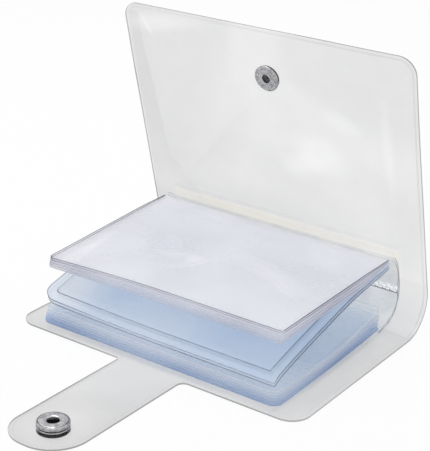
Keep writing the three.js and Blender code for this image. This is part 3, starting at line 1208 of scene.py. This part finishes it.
    def flat_sheet(self) -> bpy.types.Object:
        """Models the whole sheet lying flat: outline, thickness, soft border and rim line.

        Returns:
            The sheet.
        """
        sheet = Bench.plate("cover_flat", self.length, self.fore_y, self.flat_of(self.reach))
        Bench.edit(sheet)
        self.outline(sheet)
        Bench.thicken(self.thickness)
        Bench.paint_where(sheet, lambda p, n: abs(n.z) < 0.5, 2)
        bpy.ops.mesh.select_mode(type="EDGE")
        bpy.ops.mesh.select_all(action="DESELECT")
        bpy.ops.mesh.edges_select_sharp(sharpness=math.radians(60))
        bpy.ops.mesh.bevel(offset=self.edge_round * MM, segments=2, affect="EDGES", material=2)
        for side in (1, -1):
            Bench.pick(sheet, Pick.FACES, lambda p, n: n.z * side > 0.99)
            Bench.inset(self.rim)
            Bench.paint(sheet, 1)
            Bench.inset(self.rim_line)
            Bench.paint(sheet, 0)
            Bench.move(z=-side * self.rim_step)
        Bench.slice(Axis.Y, self.cuts())
        Bench.slice(Axis.X, self.cross_cuts)
        Bench.clear()
        return sheet

    def wavy(self, points: np.ndarray) -> np.ndarray:
        """Lets the standing front cover wave a little, more towards its free edge and not at the snap.

        Args:
            points: The flat sheet's points.

        Returns:
            The points moved.
        """
        start = self.flat_of(self.fold_height + self.wave_start)
        reach = np.clip((points[:, 1] - start) / self.wave_reach, 0, 1)
        snap = self.flat_of(self.snap_height)
        away = np.hypot(points[:, 0] - self.strap_x, points[:, 1] - snap) / self.snap_calm
        away = np.clip(away - 0.5, 0, 1)
        lift = np.array([
            noise.noise(Vector((x / 42, y / 36, 3.1))) + 0.35 * noise.noise(Vector((x / 17, y / 21, 8.4)))
            for x, y in points[:, :2]])
        moved = points.copy()
        moved[:, 2] += lift * reach * away * self.wave
        return moved

    def cut(self, sheet: bpy.types.Object, name: str, low: float, high: float) -> bpy.types.Object:
        """Cuts one length out of the flat sheet, closes its ends and lays it along the path.

        Args:
            sheet: The flat sheet.
            name: The new piece's name.
            low: Where the length starts, or past the sheet's own end.
            high: Where it ends, or past the sheet's own end.

        Returns:
            The piece in its place.
        """
        piece = Bench.copy(sheet, name)
        Bench.edit(piece)
        if low > self.strap_end:
            Bench.cut_off(piece, low, False, 3)
        if high < self.flat_of(self.reach):
            Bench.cut_off(piece, high, True, 3)
        Bench.clear()
        Bench.shift(piece, self.wavy)
        Bench.shift(piece, self.path().lay)
        Bench.smooth(piece, 30)
        # The lying lengths take the darker copy of the vinyl, as painted shade.
        face = COVER_FACE if low > self.bend_y + self.arc else COVER_LOW
        dress(piece, (face, COVER_RIM, COVER_EDGE, JOINT), "cover_vinyl")
        return piece

    def build_strap(self, sheet: bpy.types.Object) -> None:
        """Cuts the fore edge and the strap, and lays them in place.

        Args:
            sheet: The flat sheet.
        """
        seam = self.strap_fold_y - self.strap_seam
        root = self.cut(sheet, "fore_edge_and_strap_root", seam, self.fore_seam)
        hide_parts("strap_riser")
        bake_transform(root)

        strap = self.cut(sheet, "strap_end", self.strap_end - 1, seam)
        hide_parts("strap_tab")
        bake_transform(strap)

    def build_spine(self, sheet: bpy.types.Object, seams: Sequence[float]) -> None:
        """Cuts the bend at the spine into its lengths, and lays each in place.

        Args:
            sheet: The flat sheet.
            seams: Where the lengths meet.
        """
        path = self.path()
        for k, (low, high) in enumerate(zip(seams, seams[1:])):
            piece = self.cut(sheet, f"spine_bend_{k + 1}", low, high)
            middle = self.thickness / 2
            ends = path.lay(np.array([[0, low + (high - low) * t, middle] for t in self.spine_shares])) * MM
            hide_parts(f"cover_spine_{k + 1}" if k < self.sections else "cover_spine_top")
            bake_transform(piece)

    def build(self) -> None:
        """Cuts the sheet into the lengths that the bodies carry, and joins the back cover to its body."""
        sheet = self.flat_sheet()
        seams = [self.bend_y - self.seam_reach]
        seams += [self.bend_y + self.arc * (k + 0.5) / self.sections for k in range(self.sections)]
        seams += [self.bend_y + self.arc + self.seam_reach]

        back = self.cut(sheet, "back_cover_sheet", self.fore_seam, seams[0])
        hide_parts("back_cover")
        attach(back, "back_half")
        self.build_strap(sheet)
        self.build_spine(sheet, seams)
        front = self.cut(sheet, "front_cover_sheet", seams[-1], self.flat_of(self.reach) + 1)
        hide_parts("front_cover")
        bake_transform(front)
        Bench.take(sheet)
        bpy.ops.object.delete()
        log.info("cover sheet: %d lengths", self.sections + 5)


@dataclass
class LeafGroup:
    """A group of pocket leaves that hang on one weld.

    A leaf's middle line is a bow from its fore edge to its spine edge, pulled towards the bow's point, or it
    follows a given course. Each leaf lies a pitch below the one above it, less where the group is pinched at
    its weld. At the left the leaves sag, squeeze together and spread. A leaf that hangs on a body keeps its
    place in its mesh, and one that is pressed gets a mesh of its own.
    """

    name: str
    first: int
    count: int
    finishes: Callable[[int], tuple[Finish, ...]]
    pitch: float
    fore_y: float = 0.0
    fore_z: float = 0.0
    fore_step: float = 0.0
    spine_y: float = 0.0
    spine_z: float = 0.0
    spine_pitch: float | None = None
    bow_y: float = 0.0
    bow_z: float = 0.0
    bow_pitch: float | None = None
    bow_points: int = 41
    course: tuple[tuple[float, float], ...] = ()
    course_step: float = 0.4
    course_fall: float = 0.75
    length: float = 94.0
    corner: float = 2.2
    corner_right: float | None = None
    corner_steps: int = 7
    rim: float = 1.7
    rim_thickness: float = 0.42
    outline: float = 0.0
    weld: float = 0.35
    pillow: float = 0.1
    crumple: float = 0.12
    flat_border: float = 1.0
    dent_reach: float = 9.0
    cell: float = 3.2
    pinch: float = 1.0
    pinch_start: float = 0.72
    sag: float = 0.0
    squeeze: float = 0.0
    spread: float = 0.0
    sag_reach: float = 0.85
    hung_on: str = ""
    bend: tuple[float, float] = (0.0, 0.0)
    pressed: float = 1.0

    def line(self, index: int) -> Path:
        """Draws the middle line of a leaf.

        Args:
            index: 0 at the group's first leaf.

        Returns:
            The line from the leaf's fore edge to its weld.
        """
        if self.course:
            fall = np.linspace(self.pitch, self.pitch * self.course_fall, len(self.course)) * index
            points = [(y + index * self.course_step, z - f) for (y, z), f in zip(self.course, fall)]
            return Path(smooth_line(points, 8))
        spine_pitch = self.pitch if self.spine_pitch is None else self.spine_pitch
        bow_pitch = self.pitch if self.bow_pitch is None else self.bow_pitch
        a = np.array([self.fore_y + index * self.fore_step, self.fore_z - index * self.pitch])
        b = np.array([self.bow_y, self.bow_z - index * bow_pitch])
        c = np.array([self.spine_y, self.spine_z - index * spine_pitch])
        shares = np.linspace(0, 1, self.bow_points)
        return Path([tuple((1 - t) ** 2 * a + 2 * t * (1 - t) * b + t * t * c) for t in shares])

    def dents(self, points: np.ndarray, index: int) -> np.ndarray:
        """Works out how far the soft film of a leaf stands off its flat shape.

        Args:
            points: The leaf's flat points.
            index: 0 at the group's first leaf.

        Returns:
            The rise at each point, none near the leaf's edges.
        """
        length = self.line(index).length
        end = np.minimum(points[:, 1], length - points[:, 1])
        edge = np.minimum(end, self.length / 2 - np.abs(points[:, 0]))
        inside = np.clip((edge - self.flat_border) / self.dent_reach, 0, 1)
        own = 0.37 * (self.first + index)
        rise = []
        for x, y in points[:, :2]:
            soft = noise.noise(Vector((x / 30, y / 26, own)))
            fold = 1 - abs(noise.noise(Vector((x / 19 + 4, y / 15, own)))) * 2
            rise.append(soft * 0.7 + fold * 0.5)
        return np.array(rise) * inside * self.crumple

    def round_corners(self, piece: bpy.types.Object) -> None:
        """Rounds the open leaf's two corners at its fore edge.

        Args:
            piece: The leaf, open in edit mode.
        """
        half = self.length / 2
        right = self.corner if self.corner_right is None else self.corner_right
        for side, radius in ((-1, self.corner), (1, right)):
            if not radius:
                continue
            Bench.pick(piece, Pick.POINTS, lambda p, n: abs(p.y) < NEAR and p.x * side > half - NEAR)
            bpy.ops.mesh.bevel(offset=radius * MM, segments=self.corner_steps, affect="VERTICES")

    def flat_leaf(self, name: str, length: float) -> bpy.types.Object:
        """Models a leaf lying flat: rounded plate, thickness, outline, rim, weld line and pillowed pocket.

        Args:
            name: The leaf's name.
            length: The length of its middle line.

        Returns:
            The leaf.
        """
        piece = Bench.plate(name, self.length, 0, length)
        Bench.edit(piece)
        self.round_corners(piece)
        Bench.thicken(self.rim_thickness)
        Bench.paint_where(piece, lambda p, n: abs(n.z) < 0.5 and p.y < length - NEAR, 1)
        for side in (1, -1):
            Bench.pick(piece, Pick.FACES, lambda p, n: n.z * side > 0.99)
            if self.outline:
                Bench.paint(piece, 3)
                Bench.inset(self.outline)
                Bench.paint(piece, 0)
            Bench.inset(self.rim - self.outline)
            Bench.paint(piece, 2)
            Bench.inset(self.weld)
            Bench.paint(piece, 0)
            Bench.move(z=side * self.pillow)
        Bench.paint_where(piece, lambda p, n: p.y > length - self.outline and abs(n.z) > 0.99, 0)
        Bench.slice(Axis.X, np.arange(-self.length / 2 + self.cell, self.length / 2, self.cell))
        Bench.slice(Axis.Y, np.arange(self.cell, length, self.cell))
        Bench.clear()
        return piece

    def leaf(self, index: int) -> None:
        """Models one leaf, lays it along its line and joins it to its own body, unless it hangs on another.

        Args:
            index: 0 at the group's first leaf.
        """
        line = self.line(index)
        node = f"leaf_{self.first + index:02d}"
        piece = self.flat_leaf(f"{node}_pocket", line.length)

        def drape(points: np.ndarray) -> np.ndarray:
            """Centres the thickness, adds the dents and lays the leaf along its line.

            Args:
                points: The flat leaf's points.

            Returns:
                The points in their places.
            """
            along = points[:, 1] / line.length
            end = ease(np.clip((along - self.pinch_start) / (1 - self.pinch_start), 0, 1))
            left = np.clip(-2 * points[:, 0] / self.length, 0, 1) ** 1.5
            fore = np.clip(1 - along / self.sag_reach, 0, 1)
            thin = 1 - end * (1 - self.pinch)
            moved = points.copy()
            moved[:, 2] = self.dents(points, index) + (points[:, 2] - self.rim_thickness / 2) * thin
            laid = line.lay(moved)
            laid[:, 2] += end * index * self.pitch * (1 - self.pinch)
            laid[:, 2] -= left * fore * (self.sag - index * self.squeeze)
            laid[:, 0] -= left * fore * index * self.spread
            return laid

        Bench.shift(piece, drape)
        Bench.smooth(piece, 35)
        dress(piece, self.finishes(index), "leaf_film")
        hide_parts(f"{node}_front_film", f"{node}_back_film")
        if self.hung_on:
            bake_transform(piece)
        else:
            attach(piece, node)
        if self.pressed < 1:
            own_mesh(piece)

    def build(self) -> None:
        """Models every leaf of the group."""
        for index in range(self.count):
            self.leaf(index)
        log.info("%s: %d leaves", self.name, self.count)


@dataclass
class Binding:
    """The welded spine of the leaf block: its film, weld line, beads and flanges.

    The two films lie a gap apart and part more at their free ends. The knurl is a strip with two rows of
    bumps, set in turn, above a dark foot; the bumps' side walls share the foot's finish as painted shade.
    """

    length: float = 94.0
    film: float = 0.14
    film_gap: float = 0.6
    film_border: float = 0.16
    film_cell: float = 0.7
    parting_start: float = 30.0
    parting_reach: float = 17.0
    parting: float = 0.2
    parting_wave: float = 0.4
    cross_cuts: tuple[int, ...] = tuple(range(-44, 46, 4))
    line: tuple[tuple[float, float], ...] = (
        (29.7, 26.7), (31.6, 26.0), (33.5, 24), (35.2, 20.6), (36.1, 16.6), (36.5, 12.2), (36.1, 8.3),
        (34.2, 5.4), (30.6, 3.1), (24.5, 1.45))
    knurl_y: float = 36.0
    knurl_z: float = 13.0
    knurl_height: float = 2.4
    knurl_inset: float = 0.2
    knurl_pitch: float = 1.45
    knurl_thickness: float = 0.25
    knurl_foot: float = -0.65
    knurl_middle: float = 0.05
    bump_border: float = 0.08
    bump_height: float = 0.45
    bump_top_border: float = 0.2
    bump_top_height: float = 0.15

    def film_piece(self) -> None:
        """Models the two thin films of the spine, with a narrow gap between them, as one piece."""
        path = Path(smooth_line(self.line, 6))
        piece = Bench.plate("spine_film_sheet", self.length, 0, path.length)
        Bench.edit(piece)
        Bench.thicken(self.film)
        bpy.ops.mesh.select_all(action="SELECT")
        bpy.ops.mesh.duplicate()
        Bench.move(z=self.film_gap)
        Bench.paint_where(piece, lambda p, n: abs(n.x) > 0.5, 1)
        Bench.slice(Axis.Y, np.arange(self.film_cell, path.length, self.film_cell))
        Bench.slice(Axis.X, self.cross_cuts)
        border = self.length / 2 - self.film_border
        Bench.slice(Axis.X, (-border, border))
        Bench.paint_where(piece, lambda p, n: abs(p.x) > border, 1)
        Bench.clear()

        def drape(points: np.ndarray) -> np.ndarray:
            """Centres the two films, parts them a little at the free ends and lays them along their line.

            Args:
                points: The flat films' points.

            Returns:
                The points in their places.
            """
            end = np.clip((np.abs(points[:, 0]) - self.parting_start) / self.parting_reach, 0, 1)
            apart = 1 + (self.parting + self.parting_wave * np.sin(points[:, 1] * 0.5)) * end
            moved = points.copy()
            moved[:, 2] = (points[:, 2] - (self.film + self.film_gap) / 2) * apart
            return path.lay(moved)

        Bench.shift(piece, drape)
        Bench.smooth(piece, 35)
        dress(piece, (SPINE_FACE, SPINE_EDGE), "spine_film")
        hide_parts("spine_film")
        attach(piece, "back_half")

    def knurl(self) -> None:
        """Models the knurled weld: a strip on the film's inner side with rows of bumps and a dark foot, whose
        finish also paints the bumps' side walls as shade between them.
        """
        count = round(self.length / self.knurl_pitch)
        high = self.knurl_height / 2
        half, step = self.length / 2, self.length / count
        foot, middle = self.knurl_foot, self.knurl_middle
        piece = Bench.plate("spine_weld_knurl", self.length - 2 * self.knurl_inset, -high, high)
        Bench.edit(piece)
        Bench.thicken(self.knurl_thickness)
        Bench.slice(Axis.X, [-half + step * k for k in range(1, count)])
        Bench.slice(Axis.Y, (foot, middle))
        Bench.paint_where(piece, lambda p, n: p.y < foot, 1)
        for row in (0, 1):
            Bench.pick(piece, Pick.FACES, lambda p, n: (
                n.z > 0.9 and p.y > foot + 0.05 and (p.y > middle) == bool(row)
                and int((p.x + half) / step) % 2 == row))
            Bench.inset(self.bump_border, each=True)
            Bench.move(z=self.bump_height)
            Bench.inset(self.bump_top_border, each=True)
            Bench.move(z=self.bump_top_height)
        # Painted shade: the bumps' side walls get the dark foot's finish, so that dark lines show between the
        # bumps.
        Bench.paint_where(piece, lambda p, n: p.y > foot and n.z < 0.7 and 0.3 < p.z < 0.6, 1)
        Bench.clear()

        def stand(points: np.ndarray) -> np.ndarray:
            """Turns the strip upright, its bumps towards the leaves, onto the film's inner side."""
            return np.column_stack([points[:, 0], self.knurl_y - points[:, 2], self.knurl_z + points[:, 1]])

        Bench.shift(piece, stand)
        Bench.edit(piece)
        Bench.face_outwards()
        Bench.clear()
        Bench.smooth(piece, 50)
        dress(piece, (KNURL, KNURL_FOOT_AND_SHADE), "weld_seam")
        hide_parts("spine_weld_line")
        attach(piece, "back_half")

    def build(self) -> None:
        """Models the binding and dresses the welds and flanges."""
        self.film_piece()
        self.knurl()
        for node in ("top_leaf_weld", "middle_leaf_weld", "lower_leaf_weld"):
            dress(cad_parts[node], (WELD_CLEAR,), "weld_seam")
        dress(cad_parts["upper_flange"], (FLANGE,), "flange_film")
        dress(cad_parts["lower_flange"], (FLANGE_LOW,), "flange_film")
        dress(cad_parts["upper_flange_weld"], (FLANGE_LINE,), "weld_seam")
        log.info("binding: film, welds and flanges")


@dataclass
class RingSnap:
    """The ring snap: socket, spring and cap on the strap, post and stud on the front cover.

    The profiles are written from each part's own edges: a small number is a step in or down from an edge, in
    millimetres, that rounds or grooves the part.
    """

    cover: CoverSheet
    outer: float = 5.15
    bore: float = 1.85
    height: float = 2.6
    floor: float = 0.5
    cap_height: float = 0.5
    spring_radius: float = 2.3
    spring_wire: float = 0.2
    spring_z: float = 1.55
    spring_sides: int = 10
    post_radius: float = 4.65
    post_height: float = 0.8
    recess: float = 1.5
    barrel: float = 1.1
    barrel_end: float = -1.2
    hole: float = 1.4
    gap: float = 0.02
    socket_steps: int = 72
    post_steps: int = 88
    tick_pitch: int = 5
    tick_width: int = 3
    tick_height: float = 0.12

    def set_in(self, point: Sequence[float], turn: float, way: int = 1) -> Matrix:
        """Works out the place of a half of the snap in its sheet.

        Args:
            point: Where it sits, in metres, with the strap's middle as X = 0.
            turn: How far its sheet is turned about X from lying flat.
            way: -1 where the half is also turned half round about its own axis.

        Returns:
            The place, with Z out of the sheet.
        """
        x, y, z = point
        c, s = math.cos(turn), math.sin(turn)
        turned = Matrix(((way, 0, 0), (0, way * c, -s), (0, way * s, c))).to_4x4()
        return Matrix.Translation((x + self.cover.strap_x * MM, y, z)) @ turned

    def on_strap(self) -> Matrix:
        """The place of the snap's half on the strap: Z out of the sheet's upper face."""
        return self.set_in(self.cover.strap_point(self.cover.snap_along), -self.cover.strap_rise, -1)

    def on_cover(self) -> Matrix:
        """The place of the snap's half on the standing cover: Z towards the leaves."""
        return self.set_in(self.cover.standing(self.cover.snap_height), self.cover.turn)

    def finish(self, piece: bpy.types.Object, node: str) -> None:
        """Places a piece, dresses it, hides its node and joins it to its body.

        Args:
            piece: The turned piece.
            node: The node that it stands for, whose name says which half of the snap it is in.
        """
        on_strap = node.startswith("strap")
        Bench.smooth(piece, 32)
        Bench.place(piece, self.on_strap() if on_strap else self.on_cover())
        dress(piece, (NICKEL, NICKEL_PAINTED_SHADE), "snap_metal")
        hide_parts(node)
        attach(piece, "strap_tab" if on_strap else "front_half")

    def socket(self) -> None:
        """Turns the socket: foot, lower rim, waist, body with a round crown, and the grooved bore."""
        o, b, top = self.outer, self.bore, self.height
        profile = [
            (self.hole, self.gap), (o - 0.6, self.gap), (o - 0.62, 0.3), (o - 0.1, 0.36), (o, 0.48), (o, 0.68),
            (o - 0.08, 0.8), (o - 0.3, 0.86), (o - 0.34, 1.0), (o - 0.3, 1.18), (o - 0.1, 1.26), (o, 1.42),
            (o, 1.9), (o - 0.06, 2.14), (o - 0.2, 2.34), (o - 0.36, 2.42), (o - 0.48, 2.37), (o - 0.6, 2.44),
            (o - 0.9, 2.53), (o - 1.5, top), (b + 1.0, top), (b + 0.6, top - 0.05), (b + 0.3, top - 0.16),
            (b + 0.1, top - 0.36), (b, top - 0.6), (b, 1.95), (b + 0.7, 1.93), (b + 0.7, 1.17), (b, 1.15),
            (b, self.floor + 0.1), (self.hole, self.floor)]
        piece = Bench.turn_profile("strap_snap_socket_turned", profile, self.socket_steps)
        Bench.edit(piece)
        # Painted shade: the bore and the waist and crown grooves get the dark nickel.
        Bench.paint_where(piece, lambda p, n: p.xy.length < b + 0.66 and 0.4 < p.z < top - 0.45, 1)
        Bench.paint_where(piece, lambda p, n: p.xy.length > o - 0.72 and (
            0.9 < p.z < 1.2 or (2.38 < p.z < 2.42 and p.xy.length < o - 0.4)), 1)
        Bench.clear()
        self.finish(piece, "strap_snap_socket")

    def spring(self) -> None:
        """Turns the spring ring in the socket."""
        wire, radius = self.spring_wire, self.spring_radius
        angles = [math.tau * k / self.spring_sides for k in range(self.spring_sides)]
        profile = [(radius + wire * math.cos(a), self.spring_z + wire * math.sin(a)) for a in angles]
        self.finish(Bench.turn_profile("strap_snap_spring_ring", profile), "strap_snap_spring")

    def cap(self) -> None:
        """Turns the cap under the strap, with its barrel through the sheet."""
        o, sheet, barrel = self.outer, self.cover.thickness, self.barrel
        low = -sheet - self.cap_height
        profile = [
            (0, low), (o * 0.3, low + 0.005), (o * 0.6, low + 0.05), (o * 0.8, low + 0.12),
            (o * 0.93, low + 0.22), (o * 0.985, low + 0.32), (o, low + 0.42), (o, -sheet - self.gap),
            (barrel, -sheet - self.gap), (barrel, self.floor - 0.15), (0, self.floor - 0.15)]
        self.finish(Bench.turn_profile("strap_snap_cap_turned", profile), "strap_snap_cap")

    def post(self) -> None:
        """Turns the post's ring, sets raised ticks round its face and sinks its middle."""
        o, r, low = self.post_radius, self.recess, self.cover.thickness
        barrel, end = self.barrel, self.barrel_end
        top = low + self.post_height
        profile = [
            (0, end), (barrel, end), (barrel, low + self.gap), (o - 0.3, low + self.gap), (o - 0.06, low + 0.1),
            (o, low + 0.24), (o - 0.06, low + 0.4), (o - 0.22, low + 0.58), (o - 0.5, top - 0.1),
            (o - 0.72, top - 0.06), (o - 0.84, top - 0.14), (o - 0.98, top - 0.16), (r + 0.62, top - 0.08),
            (r + 0.42, top), (r + 0.2, top - 0.02), (r + 0.04, top - 0.14), (r, top - 0.26),
            (r - 0.06, top - 0.5), (0, top - 0.55)]
        piece = Bench.turn_profile("cover_snap_post_turned", profile, self.post_steps)

        def in_tick(p: Vector) -> bool:
            """Whether a face lies in one of the ticks, by its angle."""
            step = int((math.atan2(p.y, p.x) + math.pi) / math.tau * self.post_steps)
            return step % self.tick_pitch < self.tick_width

        Bench.edit(piece)
        Bench.pick(piece, Pick.FACES, lambda p, n: (
            r + 0.7 < p.xy.length < o - 1.08 and p.z > top - 0.3 and n.z > 0.5 and in_tick(p)))
        Bench.inset(0.1)
        Bench.move(z=self.tick_height)
        # Painted shade: the post's sunk middle gets the dark nickel.
        Bench.paint_where(piece, lambda p, n: p.xy.length < r - 0.02 and p.z > top - 0.6, 1)
        Bench.clear()
        self.finish(piece, "cover_snap_post")

    def stud(self) -> None:
        """Turns the stud on the cover's outer face: flange, waist and round head."""
        tip, waist, head, flange = -2.35, 1.55, 1.65, 4.3
        profile = [
            (0, tip), (head - 0.7, tip + 0.02), (head - 0.35, tip + 0.1), (head - 0.1, tip + 0.3),
            (head, tip + 0.55), (head, tip + 0.8), (head - 0.06, tip + 1.0), (waist, tip + 1.3), (waist, -0.5),
            (waist + 0.2, -0.38), (flange - 0.4, -0.35), (flange - 0.1, -0.28), (flange, -0.15),
            (flange, -self.gap), (self.hole, -self.gap), (self.hole, tip + 0.8), (0, tip + 0.8)]
        self.finish(Bench.turn_profile("cover_snap_stud_turned", profile), "cover_snap_stud")

    def build(self) -> None:
        """Models the snap's five pieces."""
        self.socket()
        self.spring()
        self.cap()
        self.post()
        self.stud()
        log.info("ring snap: five turned pieces")


@dataclass
class Studio:
    """The plain pale floor, the soft light and the camera."""

    azimuth: float = math.radians(35.66)
    elevation: float = math.radians(23.16)
    roll: float = math.radians(0.97)
    eye: tuple[float, float, float] = (0.24695, -0.34977, 0.21962)
    focal_pixels: float = 1405.3
    long_side: float = 451.0
    sensor: float = 36.0
    clip: tuple[float, float] = (0.01, 20.0)
    sky: float = 0.62
    lamp_power: float = 3.0
    lamp_size: float = 0.6
    lamp_place: tuple[float, float, float] = (-0.25, -0.05, 0.85)
    lamp_aim: tuple[float, float, float] = (0.0, 0.0, 0.03)
    floor_size: float = 6.0
    floor_z: float = -0.0002
    floor_glow: float = 0.86
    floor_grey: float = 0.8
    layers: int = 96

    def seen_directly(self, nodes: Nodes) -> bpy.types.NodeSocket:
        """Finds the rays that should meet plain white: from the camera, a reflection or through glass.

        Args:
            nodes: The nodes of the material or world.

        Returns:
            The rays' mask.
        """
        rays = nodes.add("ShaderNodeLightPath")
        first = nodes.math("MAXIMUM", rays.outputs["Is Camera Ray"], rays.outputs["Is Glossy Ray"])
        return nodes.math("MAXIMUM", first, rays.outputs["Is Transmission Ray"])

    def world(self) -> None:
        """A plain white surround that lights the object evenly."""
        world = bpy.data.worlds.new("studio")
        bpy.context.scene.world = world
        world.use_nodes = True
        nodes = Nodes(world.node_tree)
        out = nodes.add("ShaderNodeOutputWorld")
        sky = nodes.add("ShaderNodeBackground")
        nodes.join(nodes.remap(self.seen_directly(nodes), 0.0, 1.0, (self.sky, 1.0)), sky.inputs["Strength"])
        sky.inputs["Color"].default_value = (1, 1, 1, 1)
        nodes.join(sky.outputs["Background"], out.inputs["Surface"])

    def floor(self) -> None:
        """A pale table under the object that keeps its shadow."""
        Bench.clear()
        bpy.ops.mesh.primitive_plane_add(size=self.floor_size, location=(0, 0, self.floor_z))
        floor = bpy.context.object
        floor.name = "floor"
        made = bpy.data.materials.new("floor_pale")
        made.use_nodes = True
        nodes = Nodes(made.node_tree)
        out = nodes.add("ShaderNodeOutputMaterial")
        plain = nodes.add("ShaderNodeBsdfDiffuse")
        plain.inputs["Color"].default_value = (*[self.floor_grey] * 3, 1)
        shade = nodes.add("ShaderNodeBsdfDiffuse")
        shade.inputs["Color"].default_value = (*[1 - self.floor_glow] * 3, 1)
        glow = nodes.add("ShaderNodeEmission")
        glow.inputs["Strength"].default_value = self.floor_glow
        both = nodes.add("ShaderNodeAddShader")
        mix = nodes.add("ShaderNodeMixShader")
        for source, target in (
                (shade.outputs[0], both.inputs[0]), (glow.outputs[0], both.inputs[1]),
                (self.seen_directly(nodes), mix.inputs[0]), (plain.outputs[0], mix.inputs[1]),
                (both.outputs[0], mix.inputs[2]), (mix.outputs[0], out.inputs["Surface"])):
            nodes.join(source, target)
        floor.data.materials.append(made)

    def lamps(self) -> None:
        """One large soft box above the object."""
        Bench.clear()
        bpy.ops.object.light_add(type="AREA", location=self.lamp_place)
        lamp = bpy.context.object
        lamp.name = "soft_box"
        lamp.data.energy = self.lamp_power
        lamp.data.size = self.lamp_size
        aim = Vector(self.lamp_aim) - lamp.location
        lamp.rotation_euler = aim.to_track_quat("-Z", "Y").to_euler()

    def camera(self) -> None:
        """A camera at the photograph's viewing angle."""
        a, e, r = self.azimuth, self.elevation, self.roll
        back = Vector((math.sin(a) * math.cos(e), -math.cos(a) * math.cos(e), math.sin(e)))
        right = Vector((math.cos(a), math.sin(a), 0))
        up = back.cross(right)
        across = math.cos(r) * right + math.sin(r) * up
        upright = -math.sin(r) * right + math.cos(r) * up
        Bench.clear()
        bpy.ops.object.camera_add(location=self.eye)
        camera = bpy.context.object
        camera.rotation_euler = Matrix((across, upright, back)).transposed().to_euler()
        camera.data.sensor_width = self.sensor
        camera.data.lens = self.focal_pixels * self.sensor / self.long_side
        camera.data.clip_start, camera.data.clip_end = self.clip
        bpy.context.scene.camera = camera

    def build(self) -> None:
        """Sets up the stage, with enough passes of light for all the clear layers."""
        scene = bpy.context.scene
        scene.view_settings.view_transform = "Standard"
        scene.cycles.transparent_max_bounces = self.layers
        self.world()
        self.floor()
        self.lamps()
        self.camera()
        log.info("studio")


def leaf_groups() -> list[LeafGroup]:
    """Lists the three groups of leaves.

    Returns:
        The groups, from the top of the block down.
    """
    top = LeafGroup(
        "top leaves", 1, 4, lambda index: TOP_FINISHES if index else FIRST_FINISHES, pitch=1.1,
        fore_y=-35.6, fore_z=26.1, fore_step=-0.25, spine_y=28.2, spine_z=26.9, bow_y=-5, bow_z=26.4,
        corner=2.4, corner_right=1.25, rim=1.2, rim_thickness=0.7, outline=0.42, pillow=0.06, crumple=0.4,
        pinch=0.3, sag=1.8, squeeze=0.32, hung_on="upper_binding", bend=(27.6, 20.5))
    middle = LeafGroup(
        "middle leaves", 5, 2, lambda index: MIDDLE_FINISHES, pitch=1.3, fore_z=10.9,
        course=((-39.4, 10.6), (-35.9, 12.3), (-22.6, 15.8), (-4.8, 19.9), (5.3, 21.9), (16, 23.2),
                (23, 24.0), (28.4, 24.7)),
        corner=5.5, corner_right=0, rim=3.4, outline=0.22, weld=0.3, sag=-1.2, squeeze=-0.2, pressed=0.8)
    lower = LeafGroup(
        "lower leaves", 7, LOWER_COUNT, lower_finishes, pitch=1.03,
        fore_y=-38.2, fore_z=6.6, fore_step=0.15, spine_y=23.6, spine_z=11.3, spine_pitch=1.62,
        bow_y=6, bow_z=3.75, bow_pitch=0.4, corner=3.4, rim=1.6, rim_thickness=0.74, pillow=0.04,
        sag=-0.6, squeeze=-0.12, spread=0.45, hung_on="back_half", bend=(23.6, 14.0))
    return [top, middle, lower]


def main() -> None:
    """Builds the binder and its stage."""
    logging.basicConfig(level=logging.INFO, format="%(name)s: %(message)s")
    Studio().build()
    cover = CoverSheet()
    cover.build()
    for group in leaf_groups():
        group.build()
    Binding().build()
    RingSnap(cover).build()


if __name__ == "__main__":
    main()
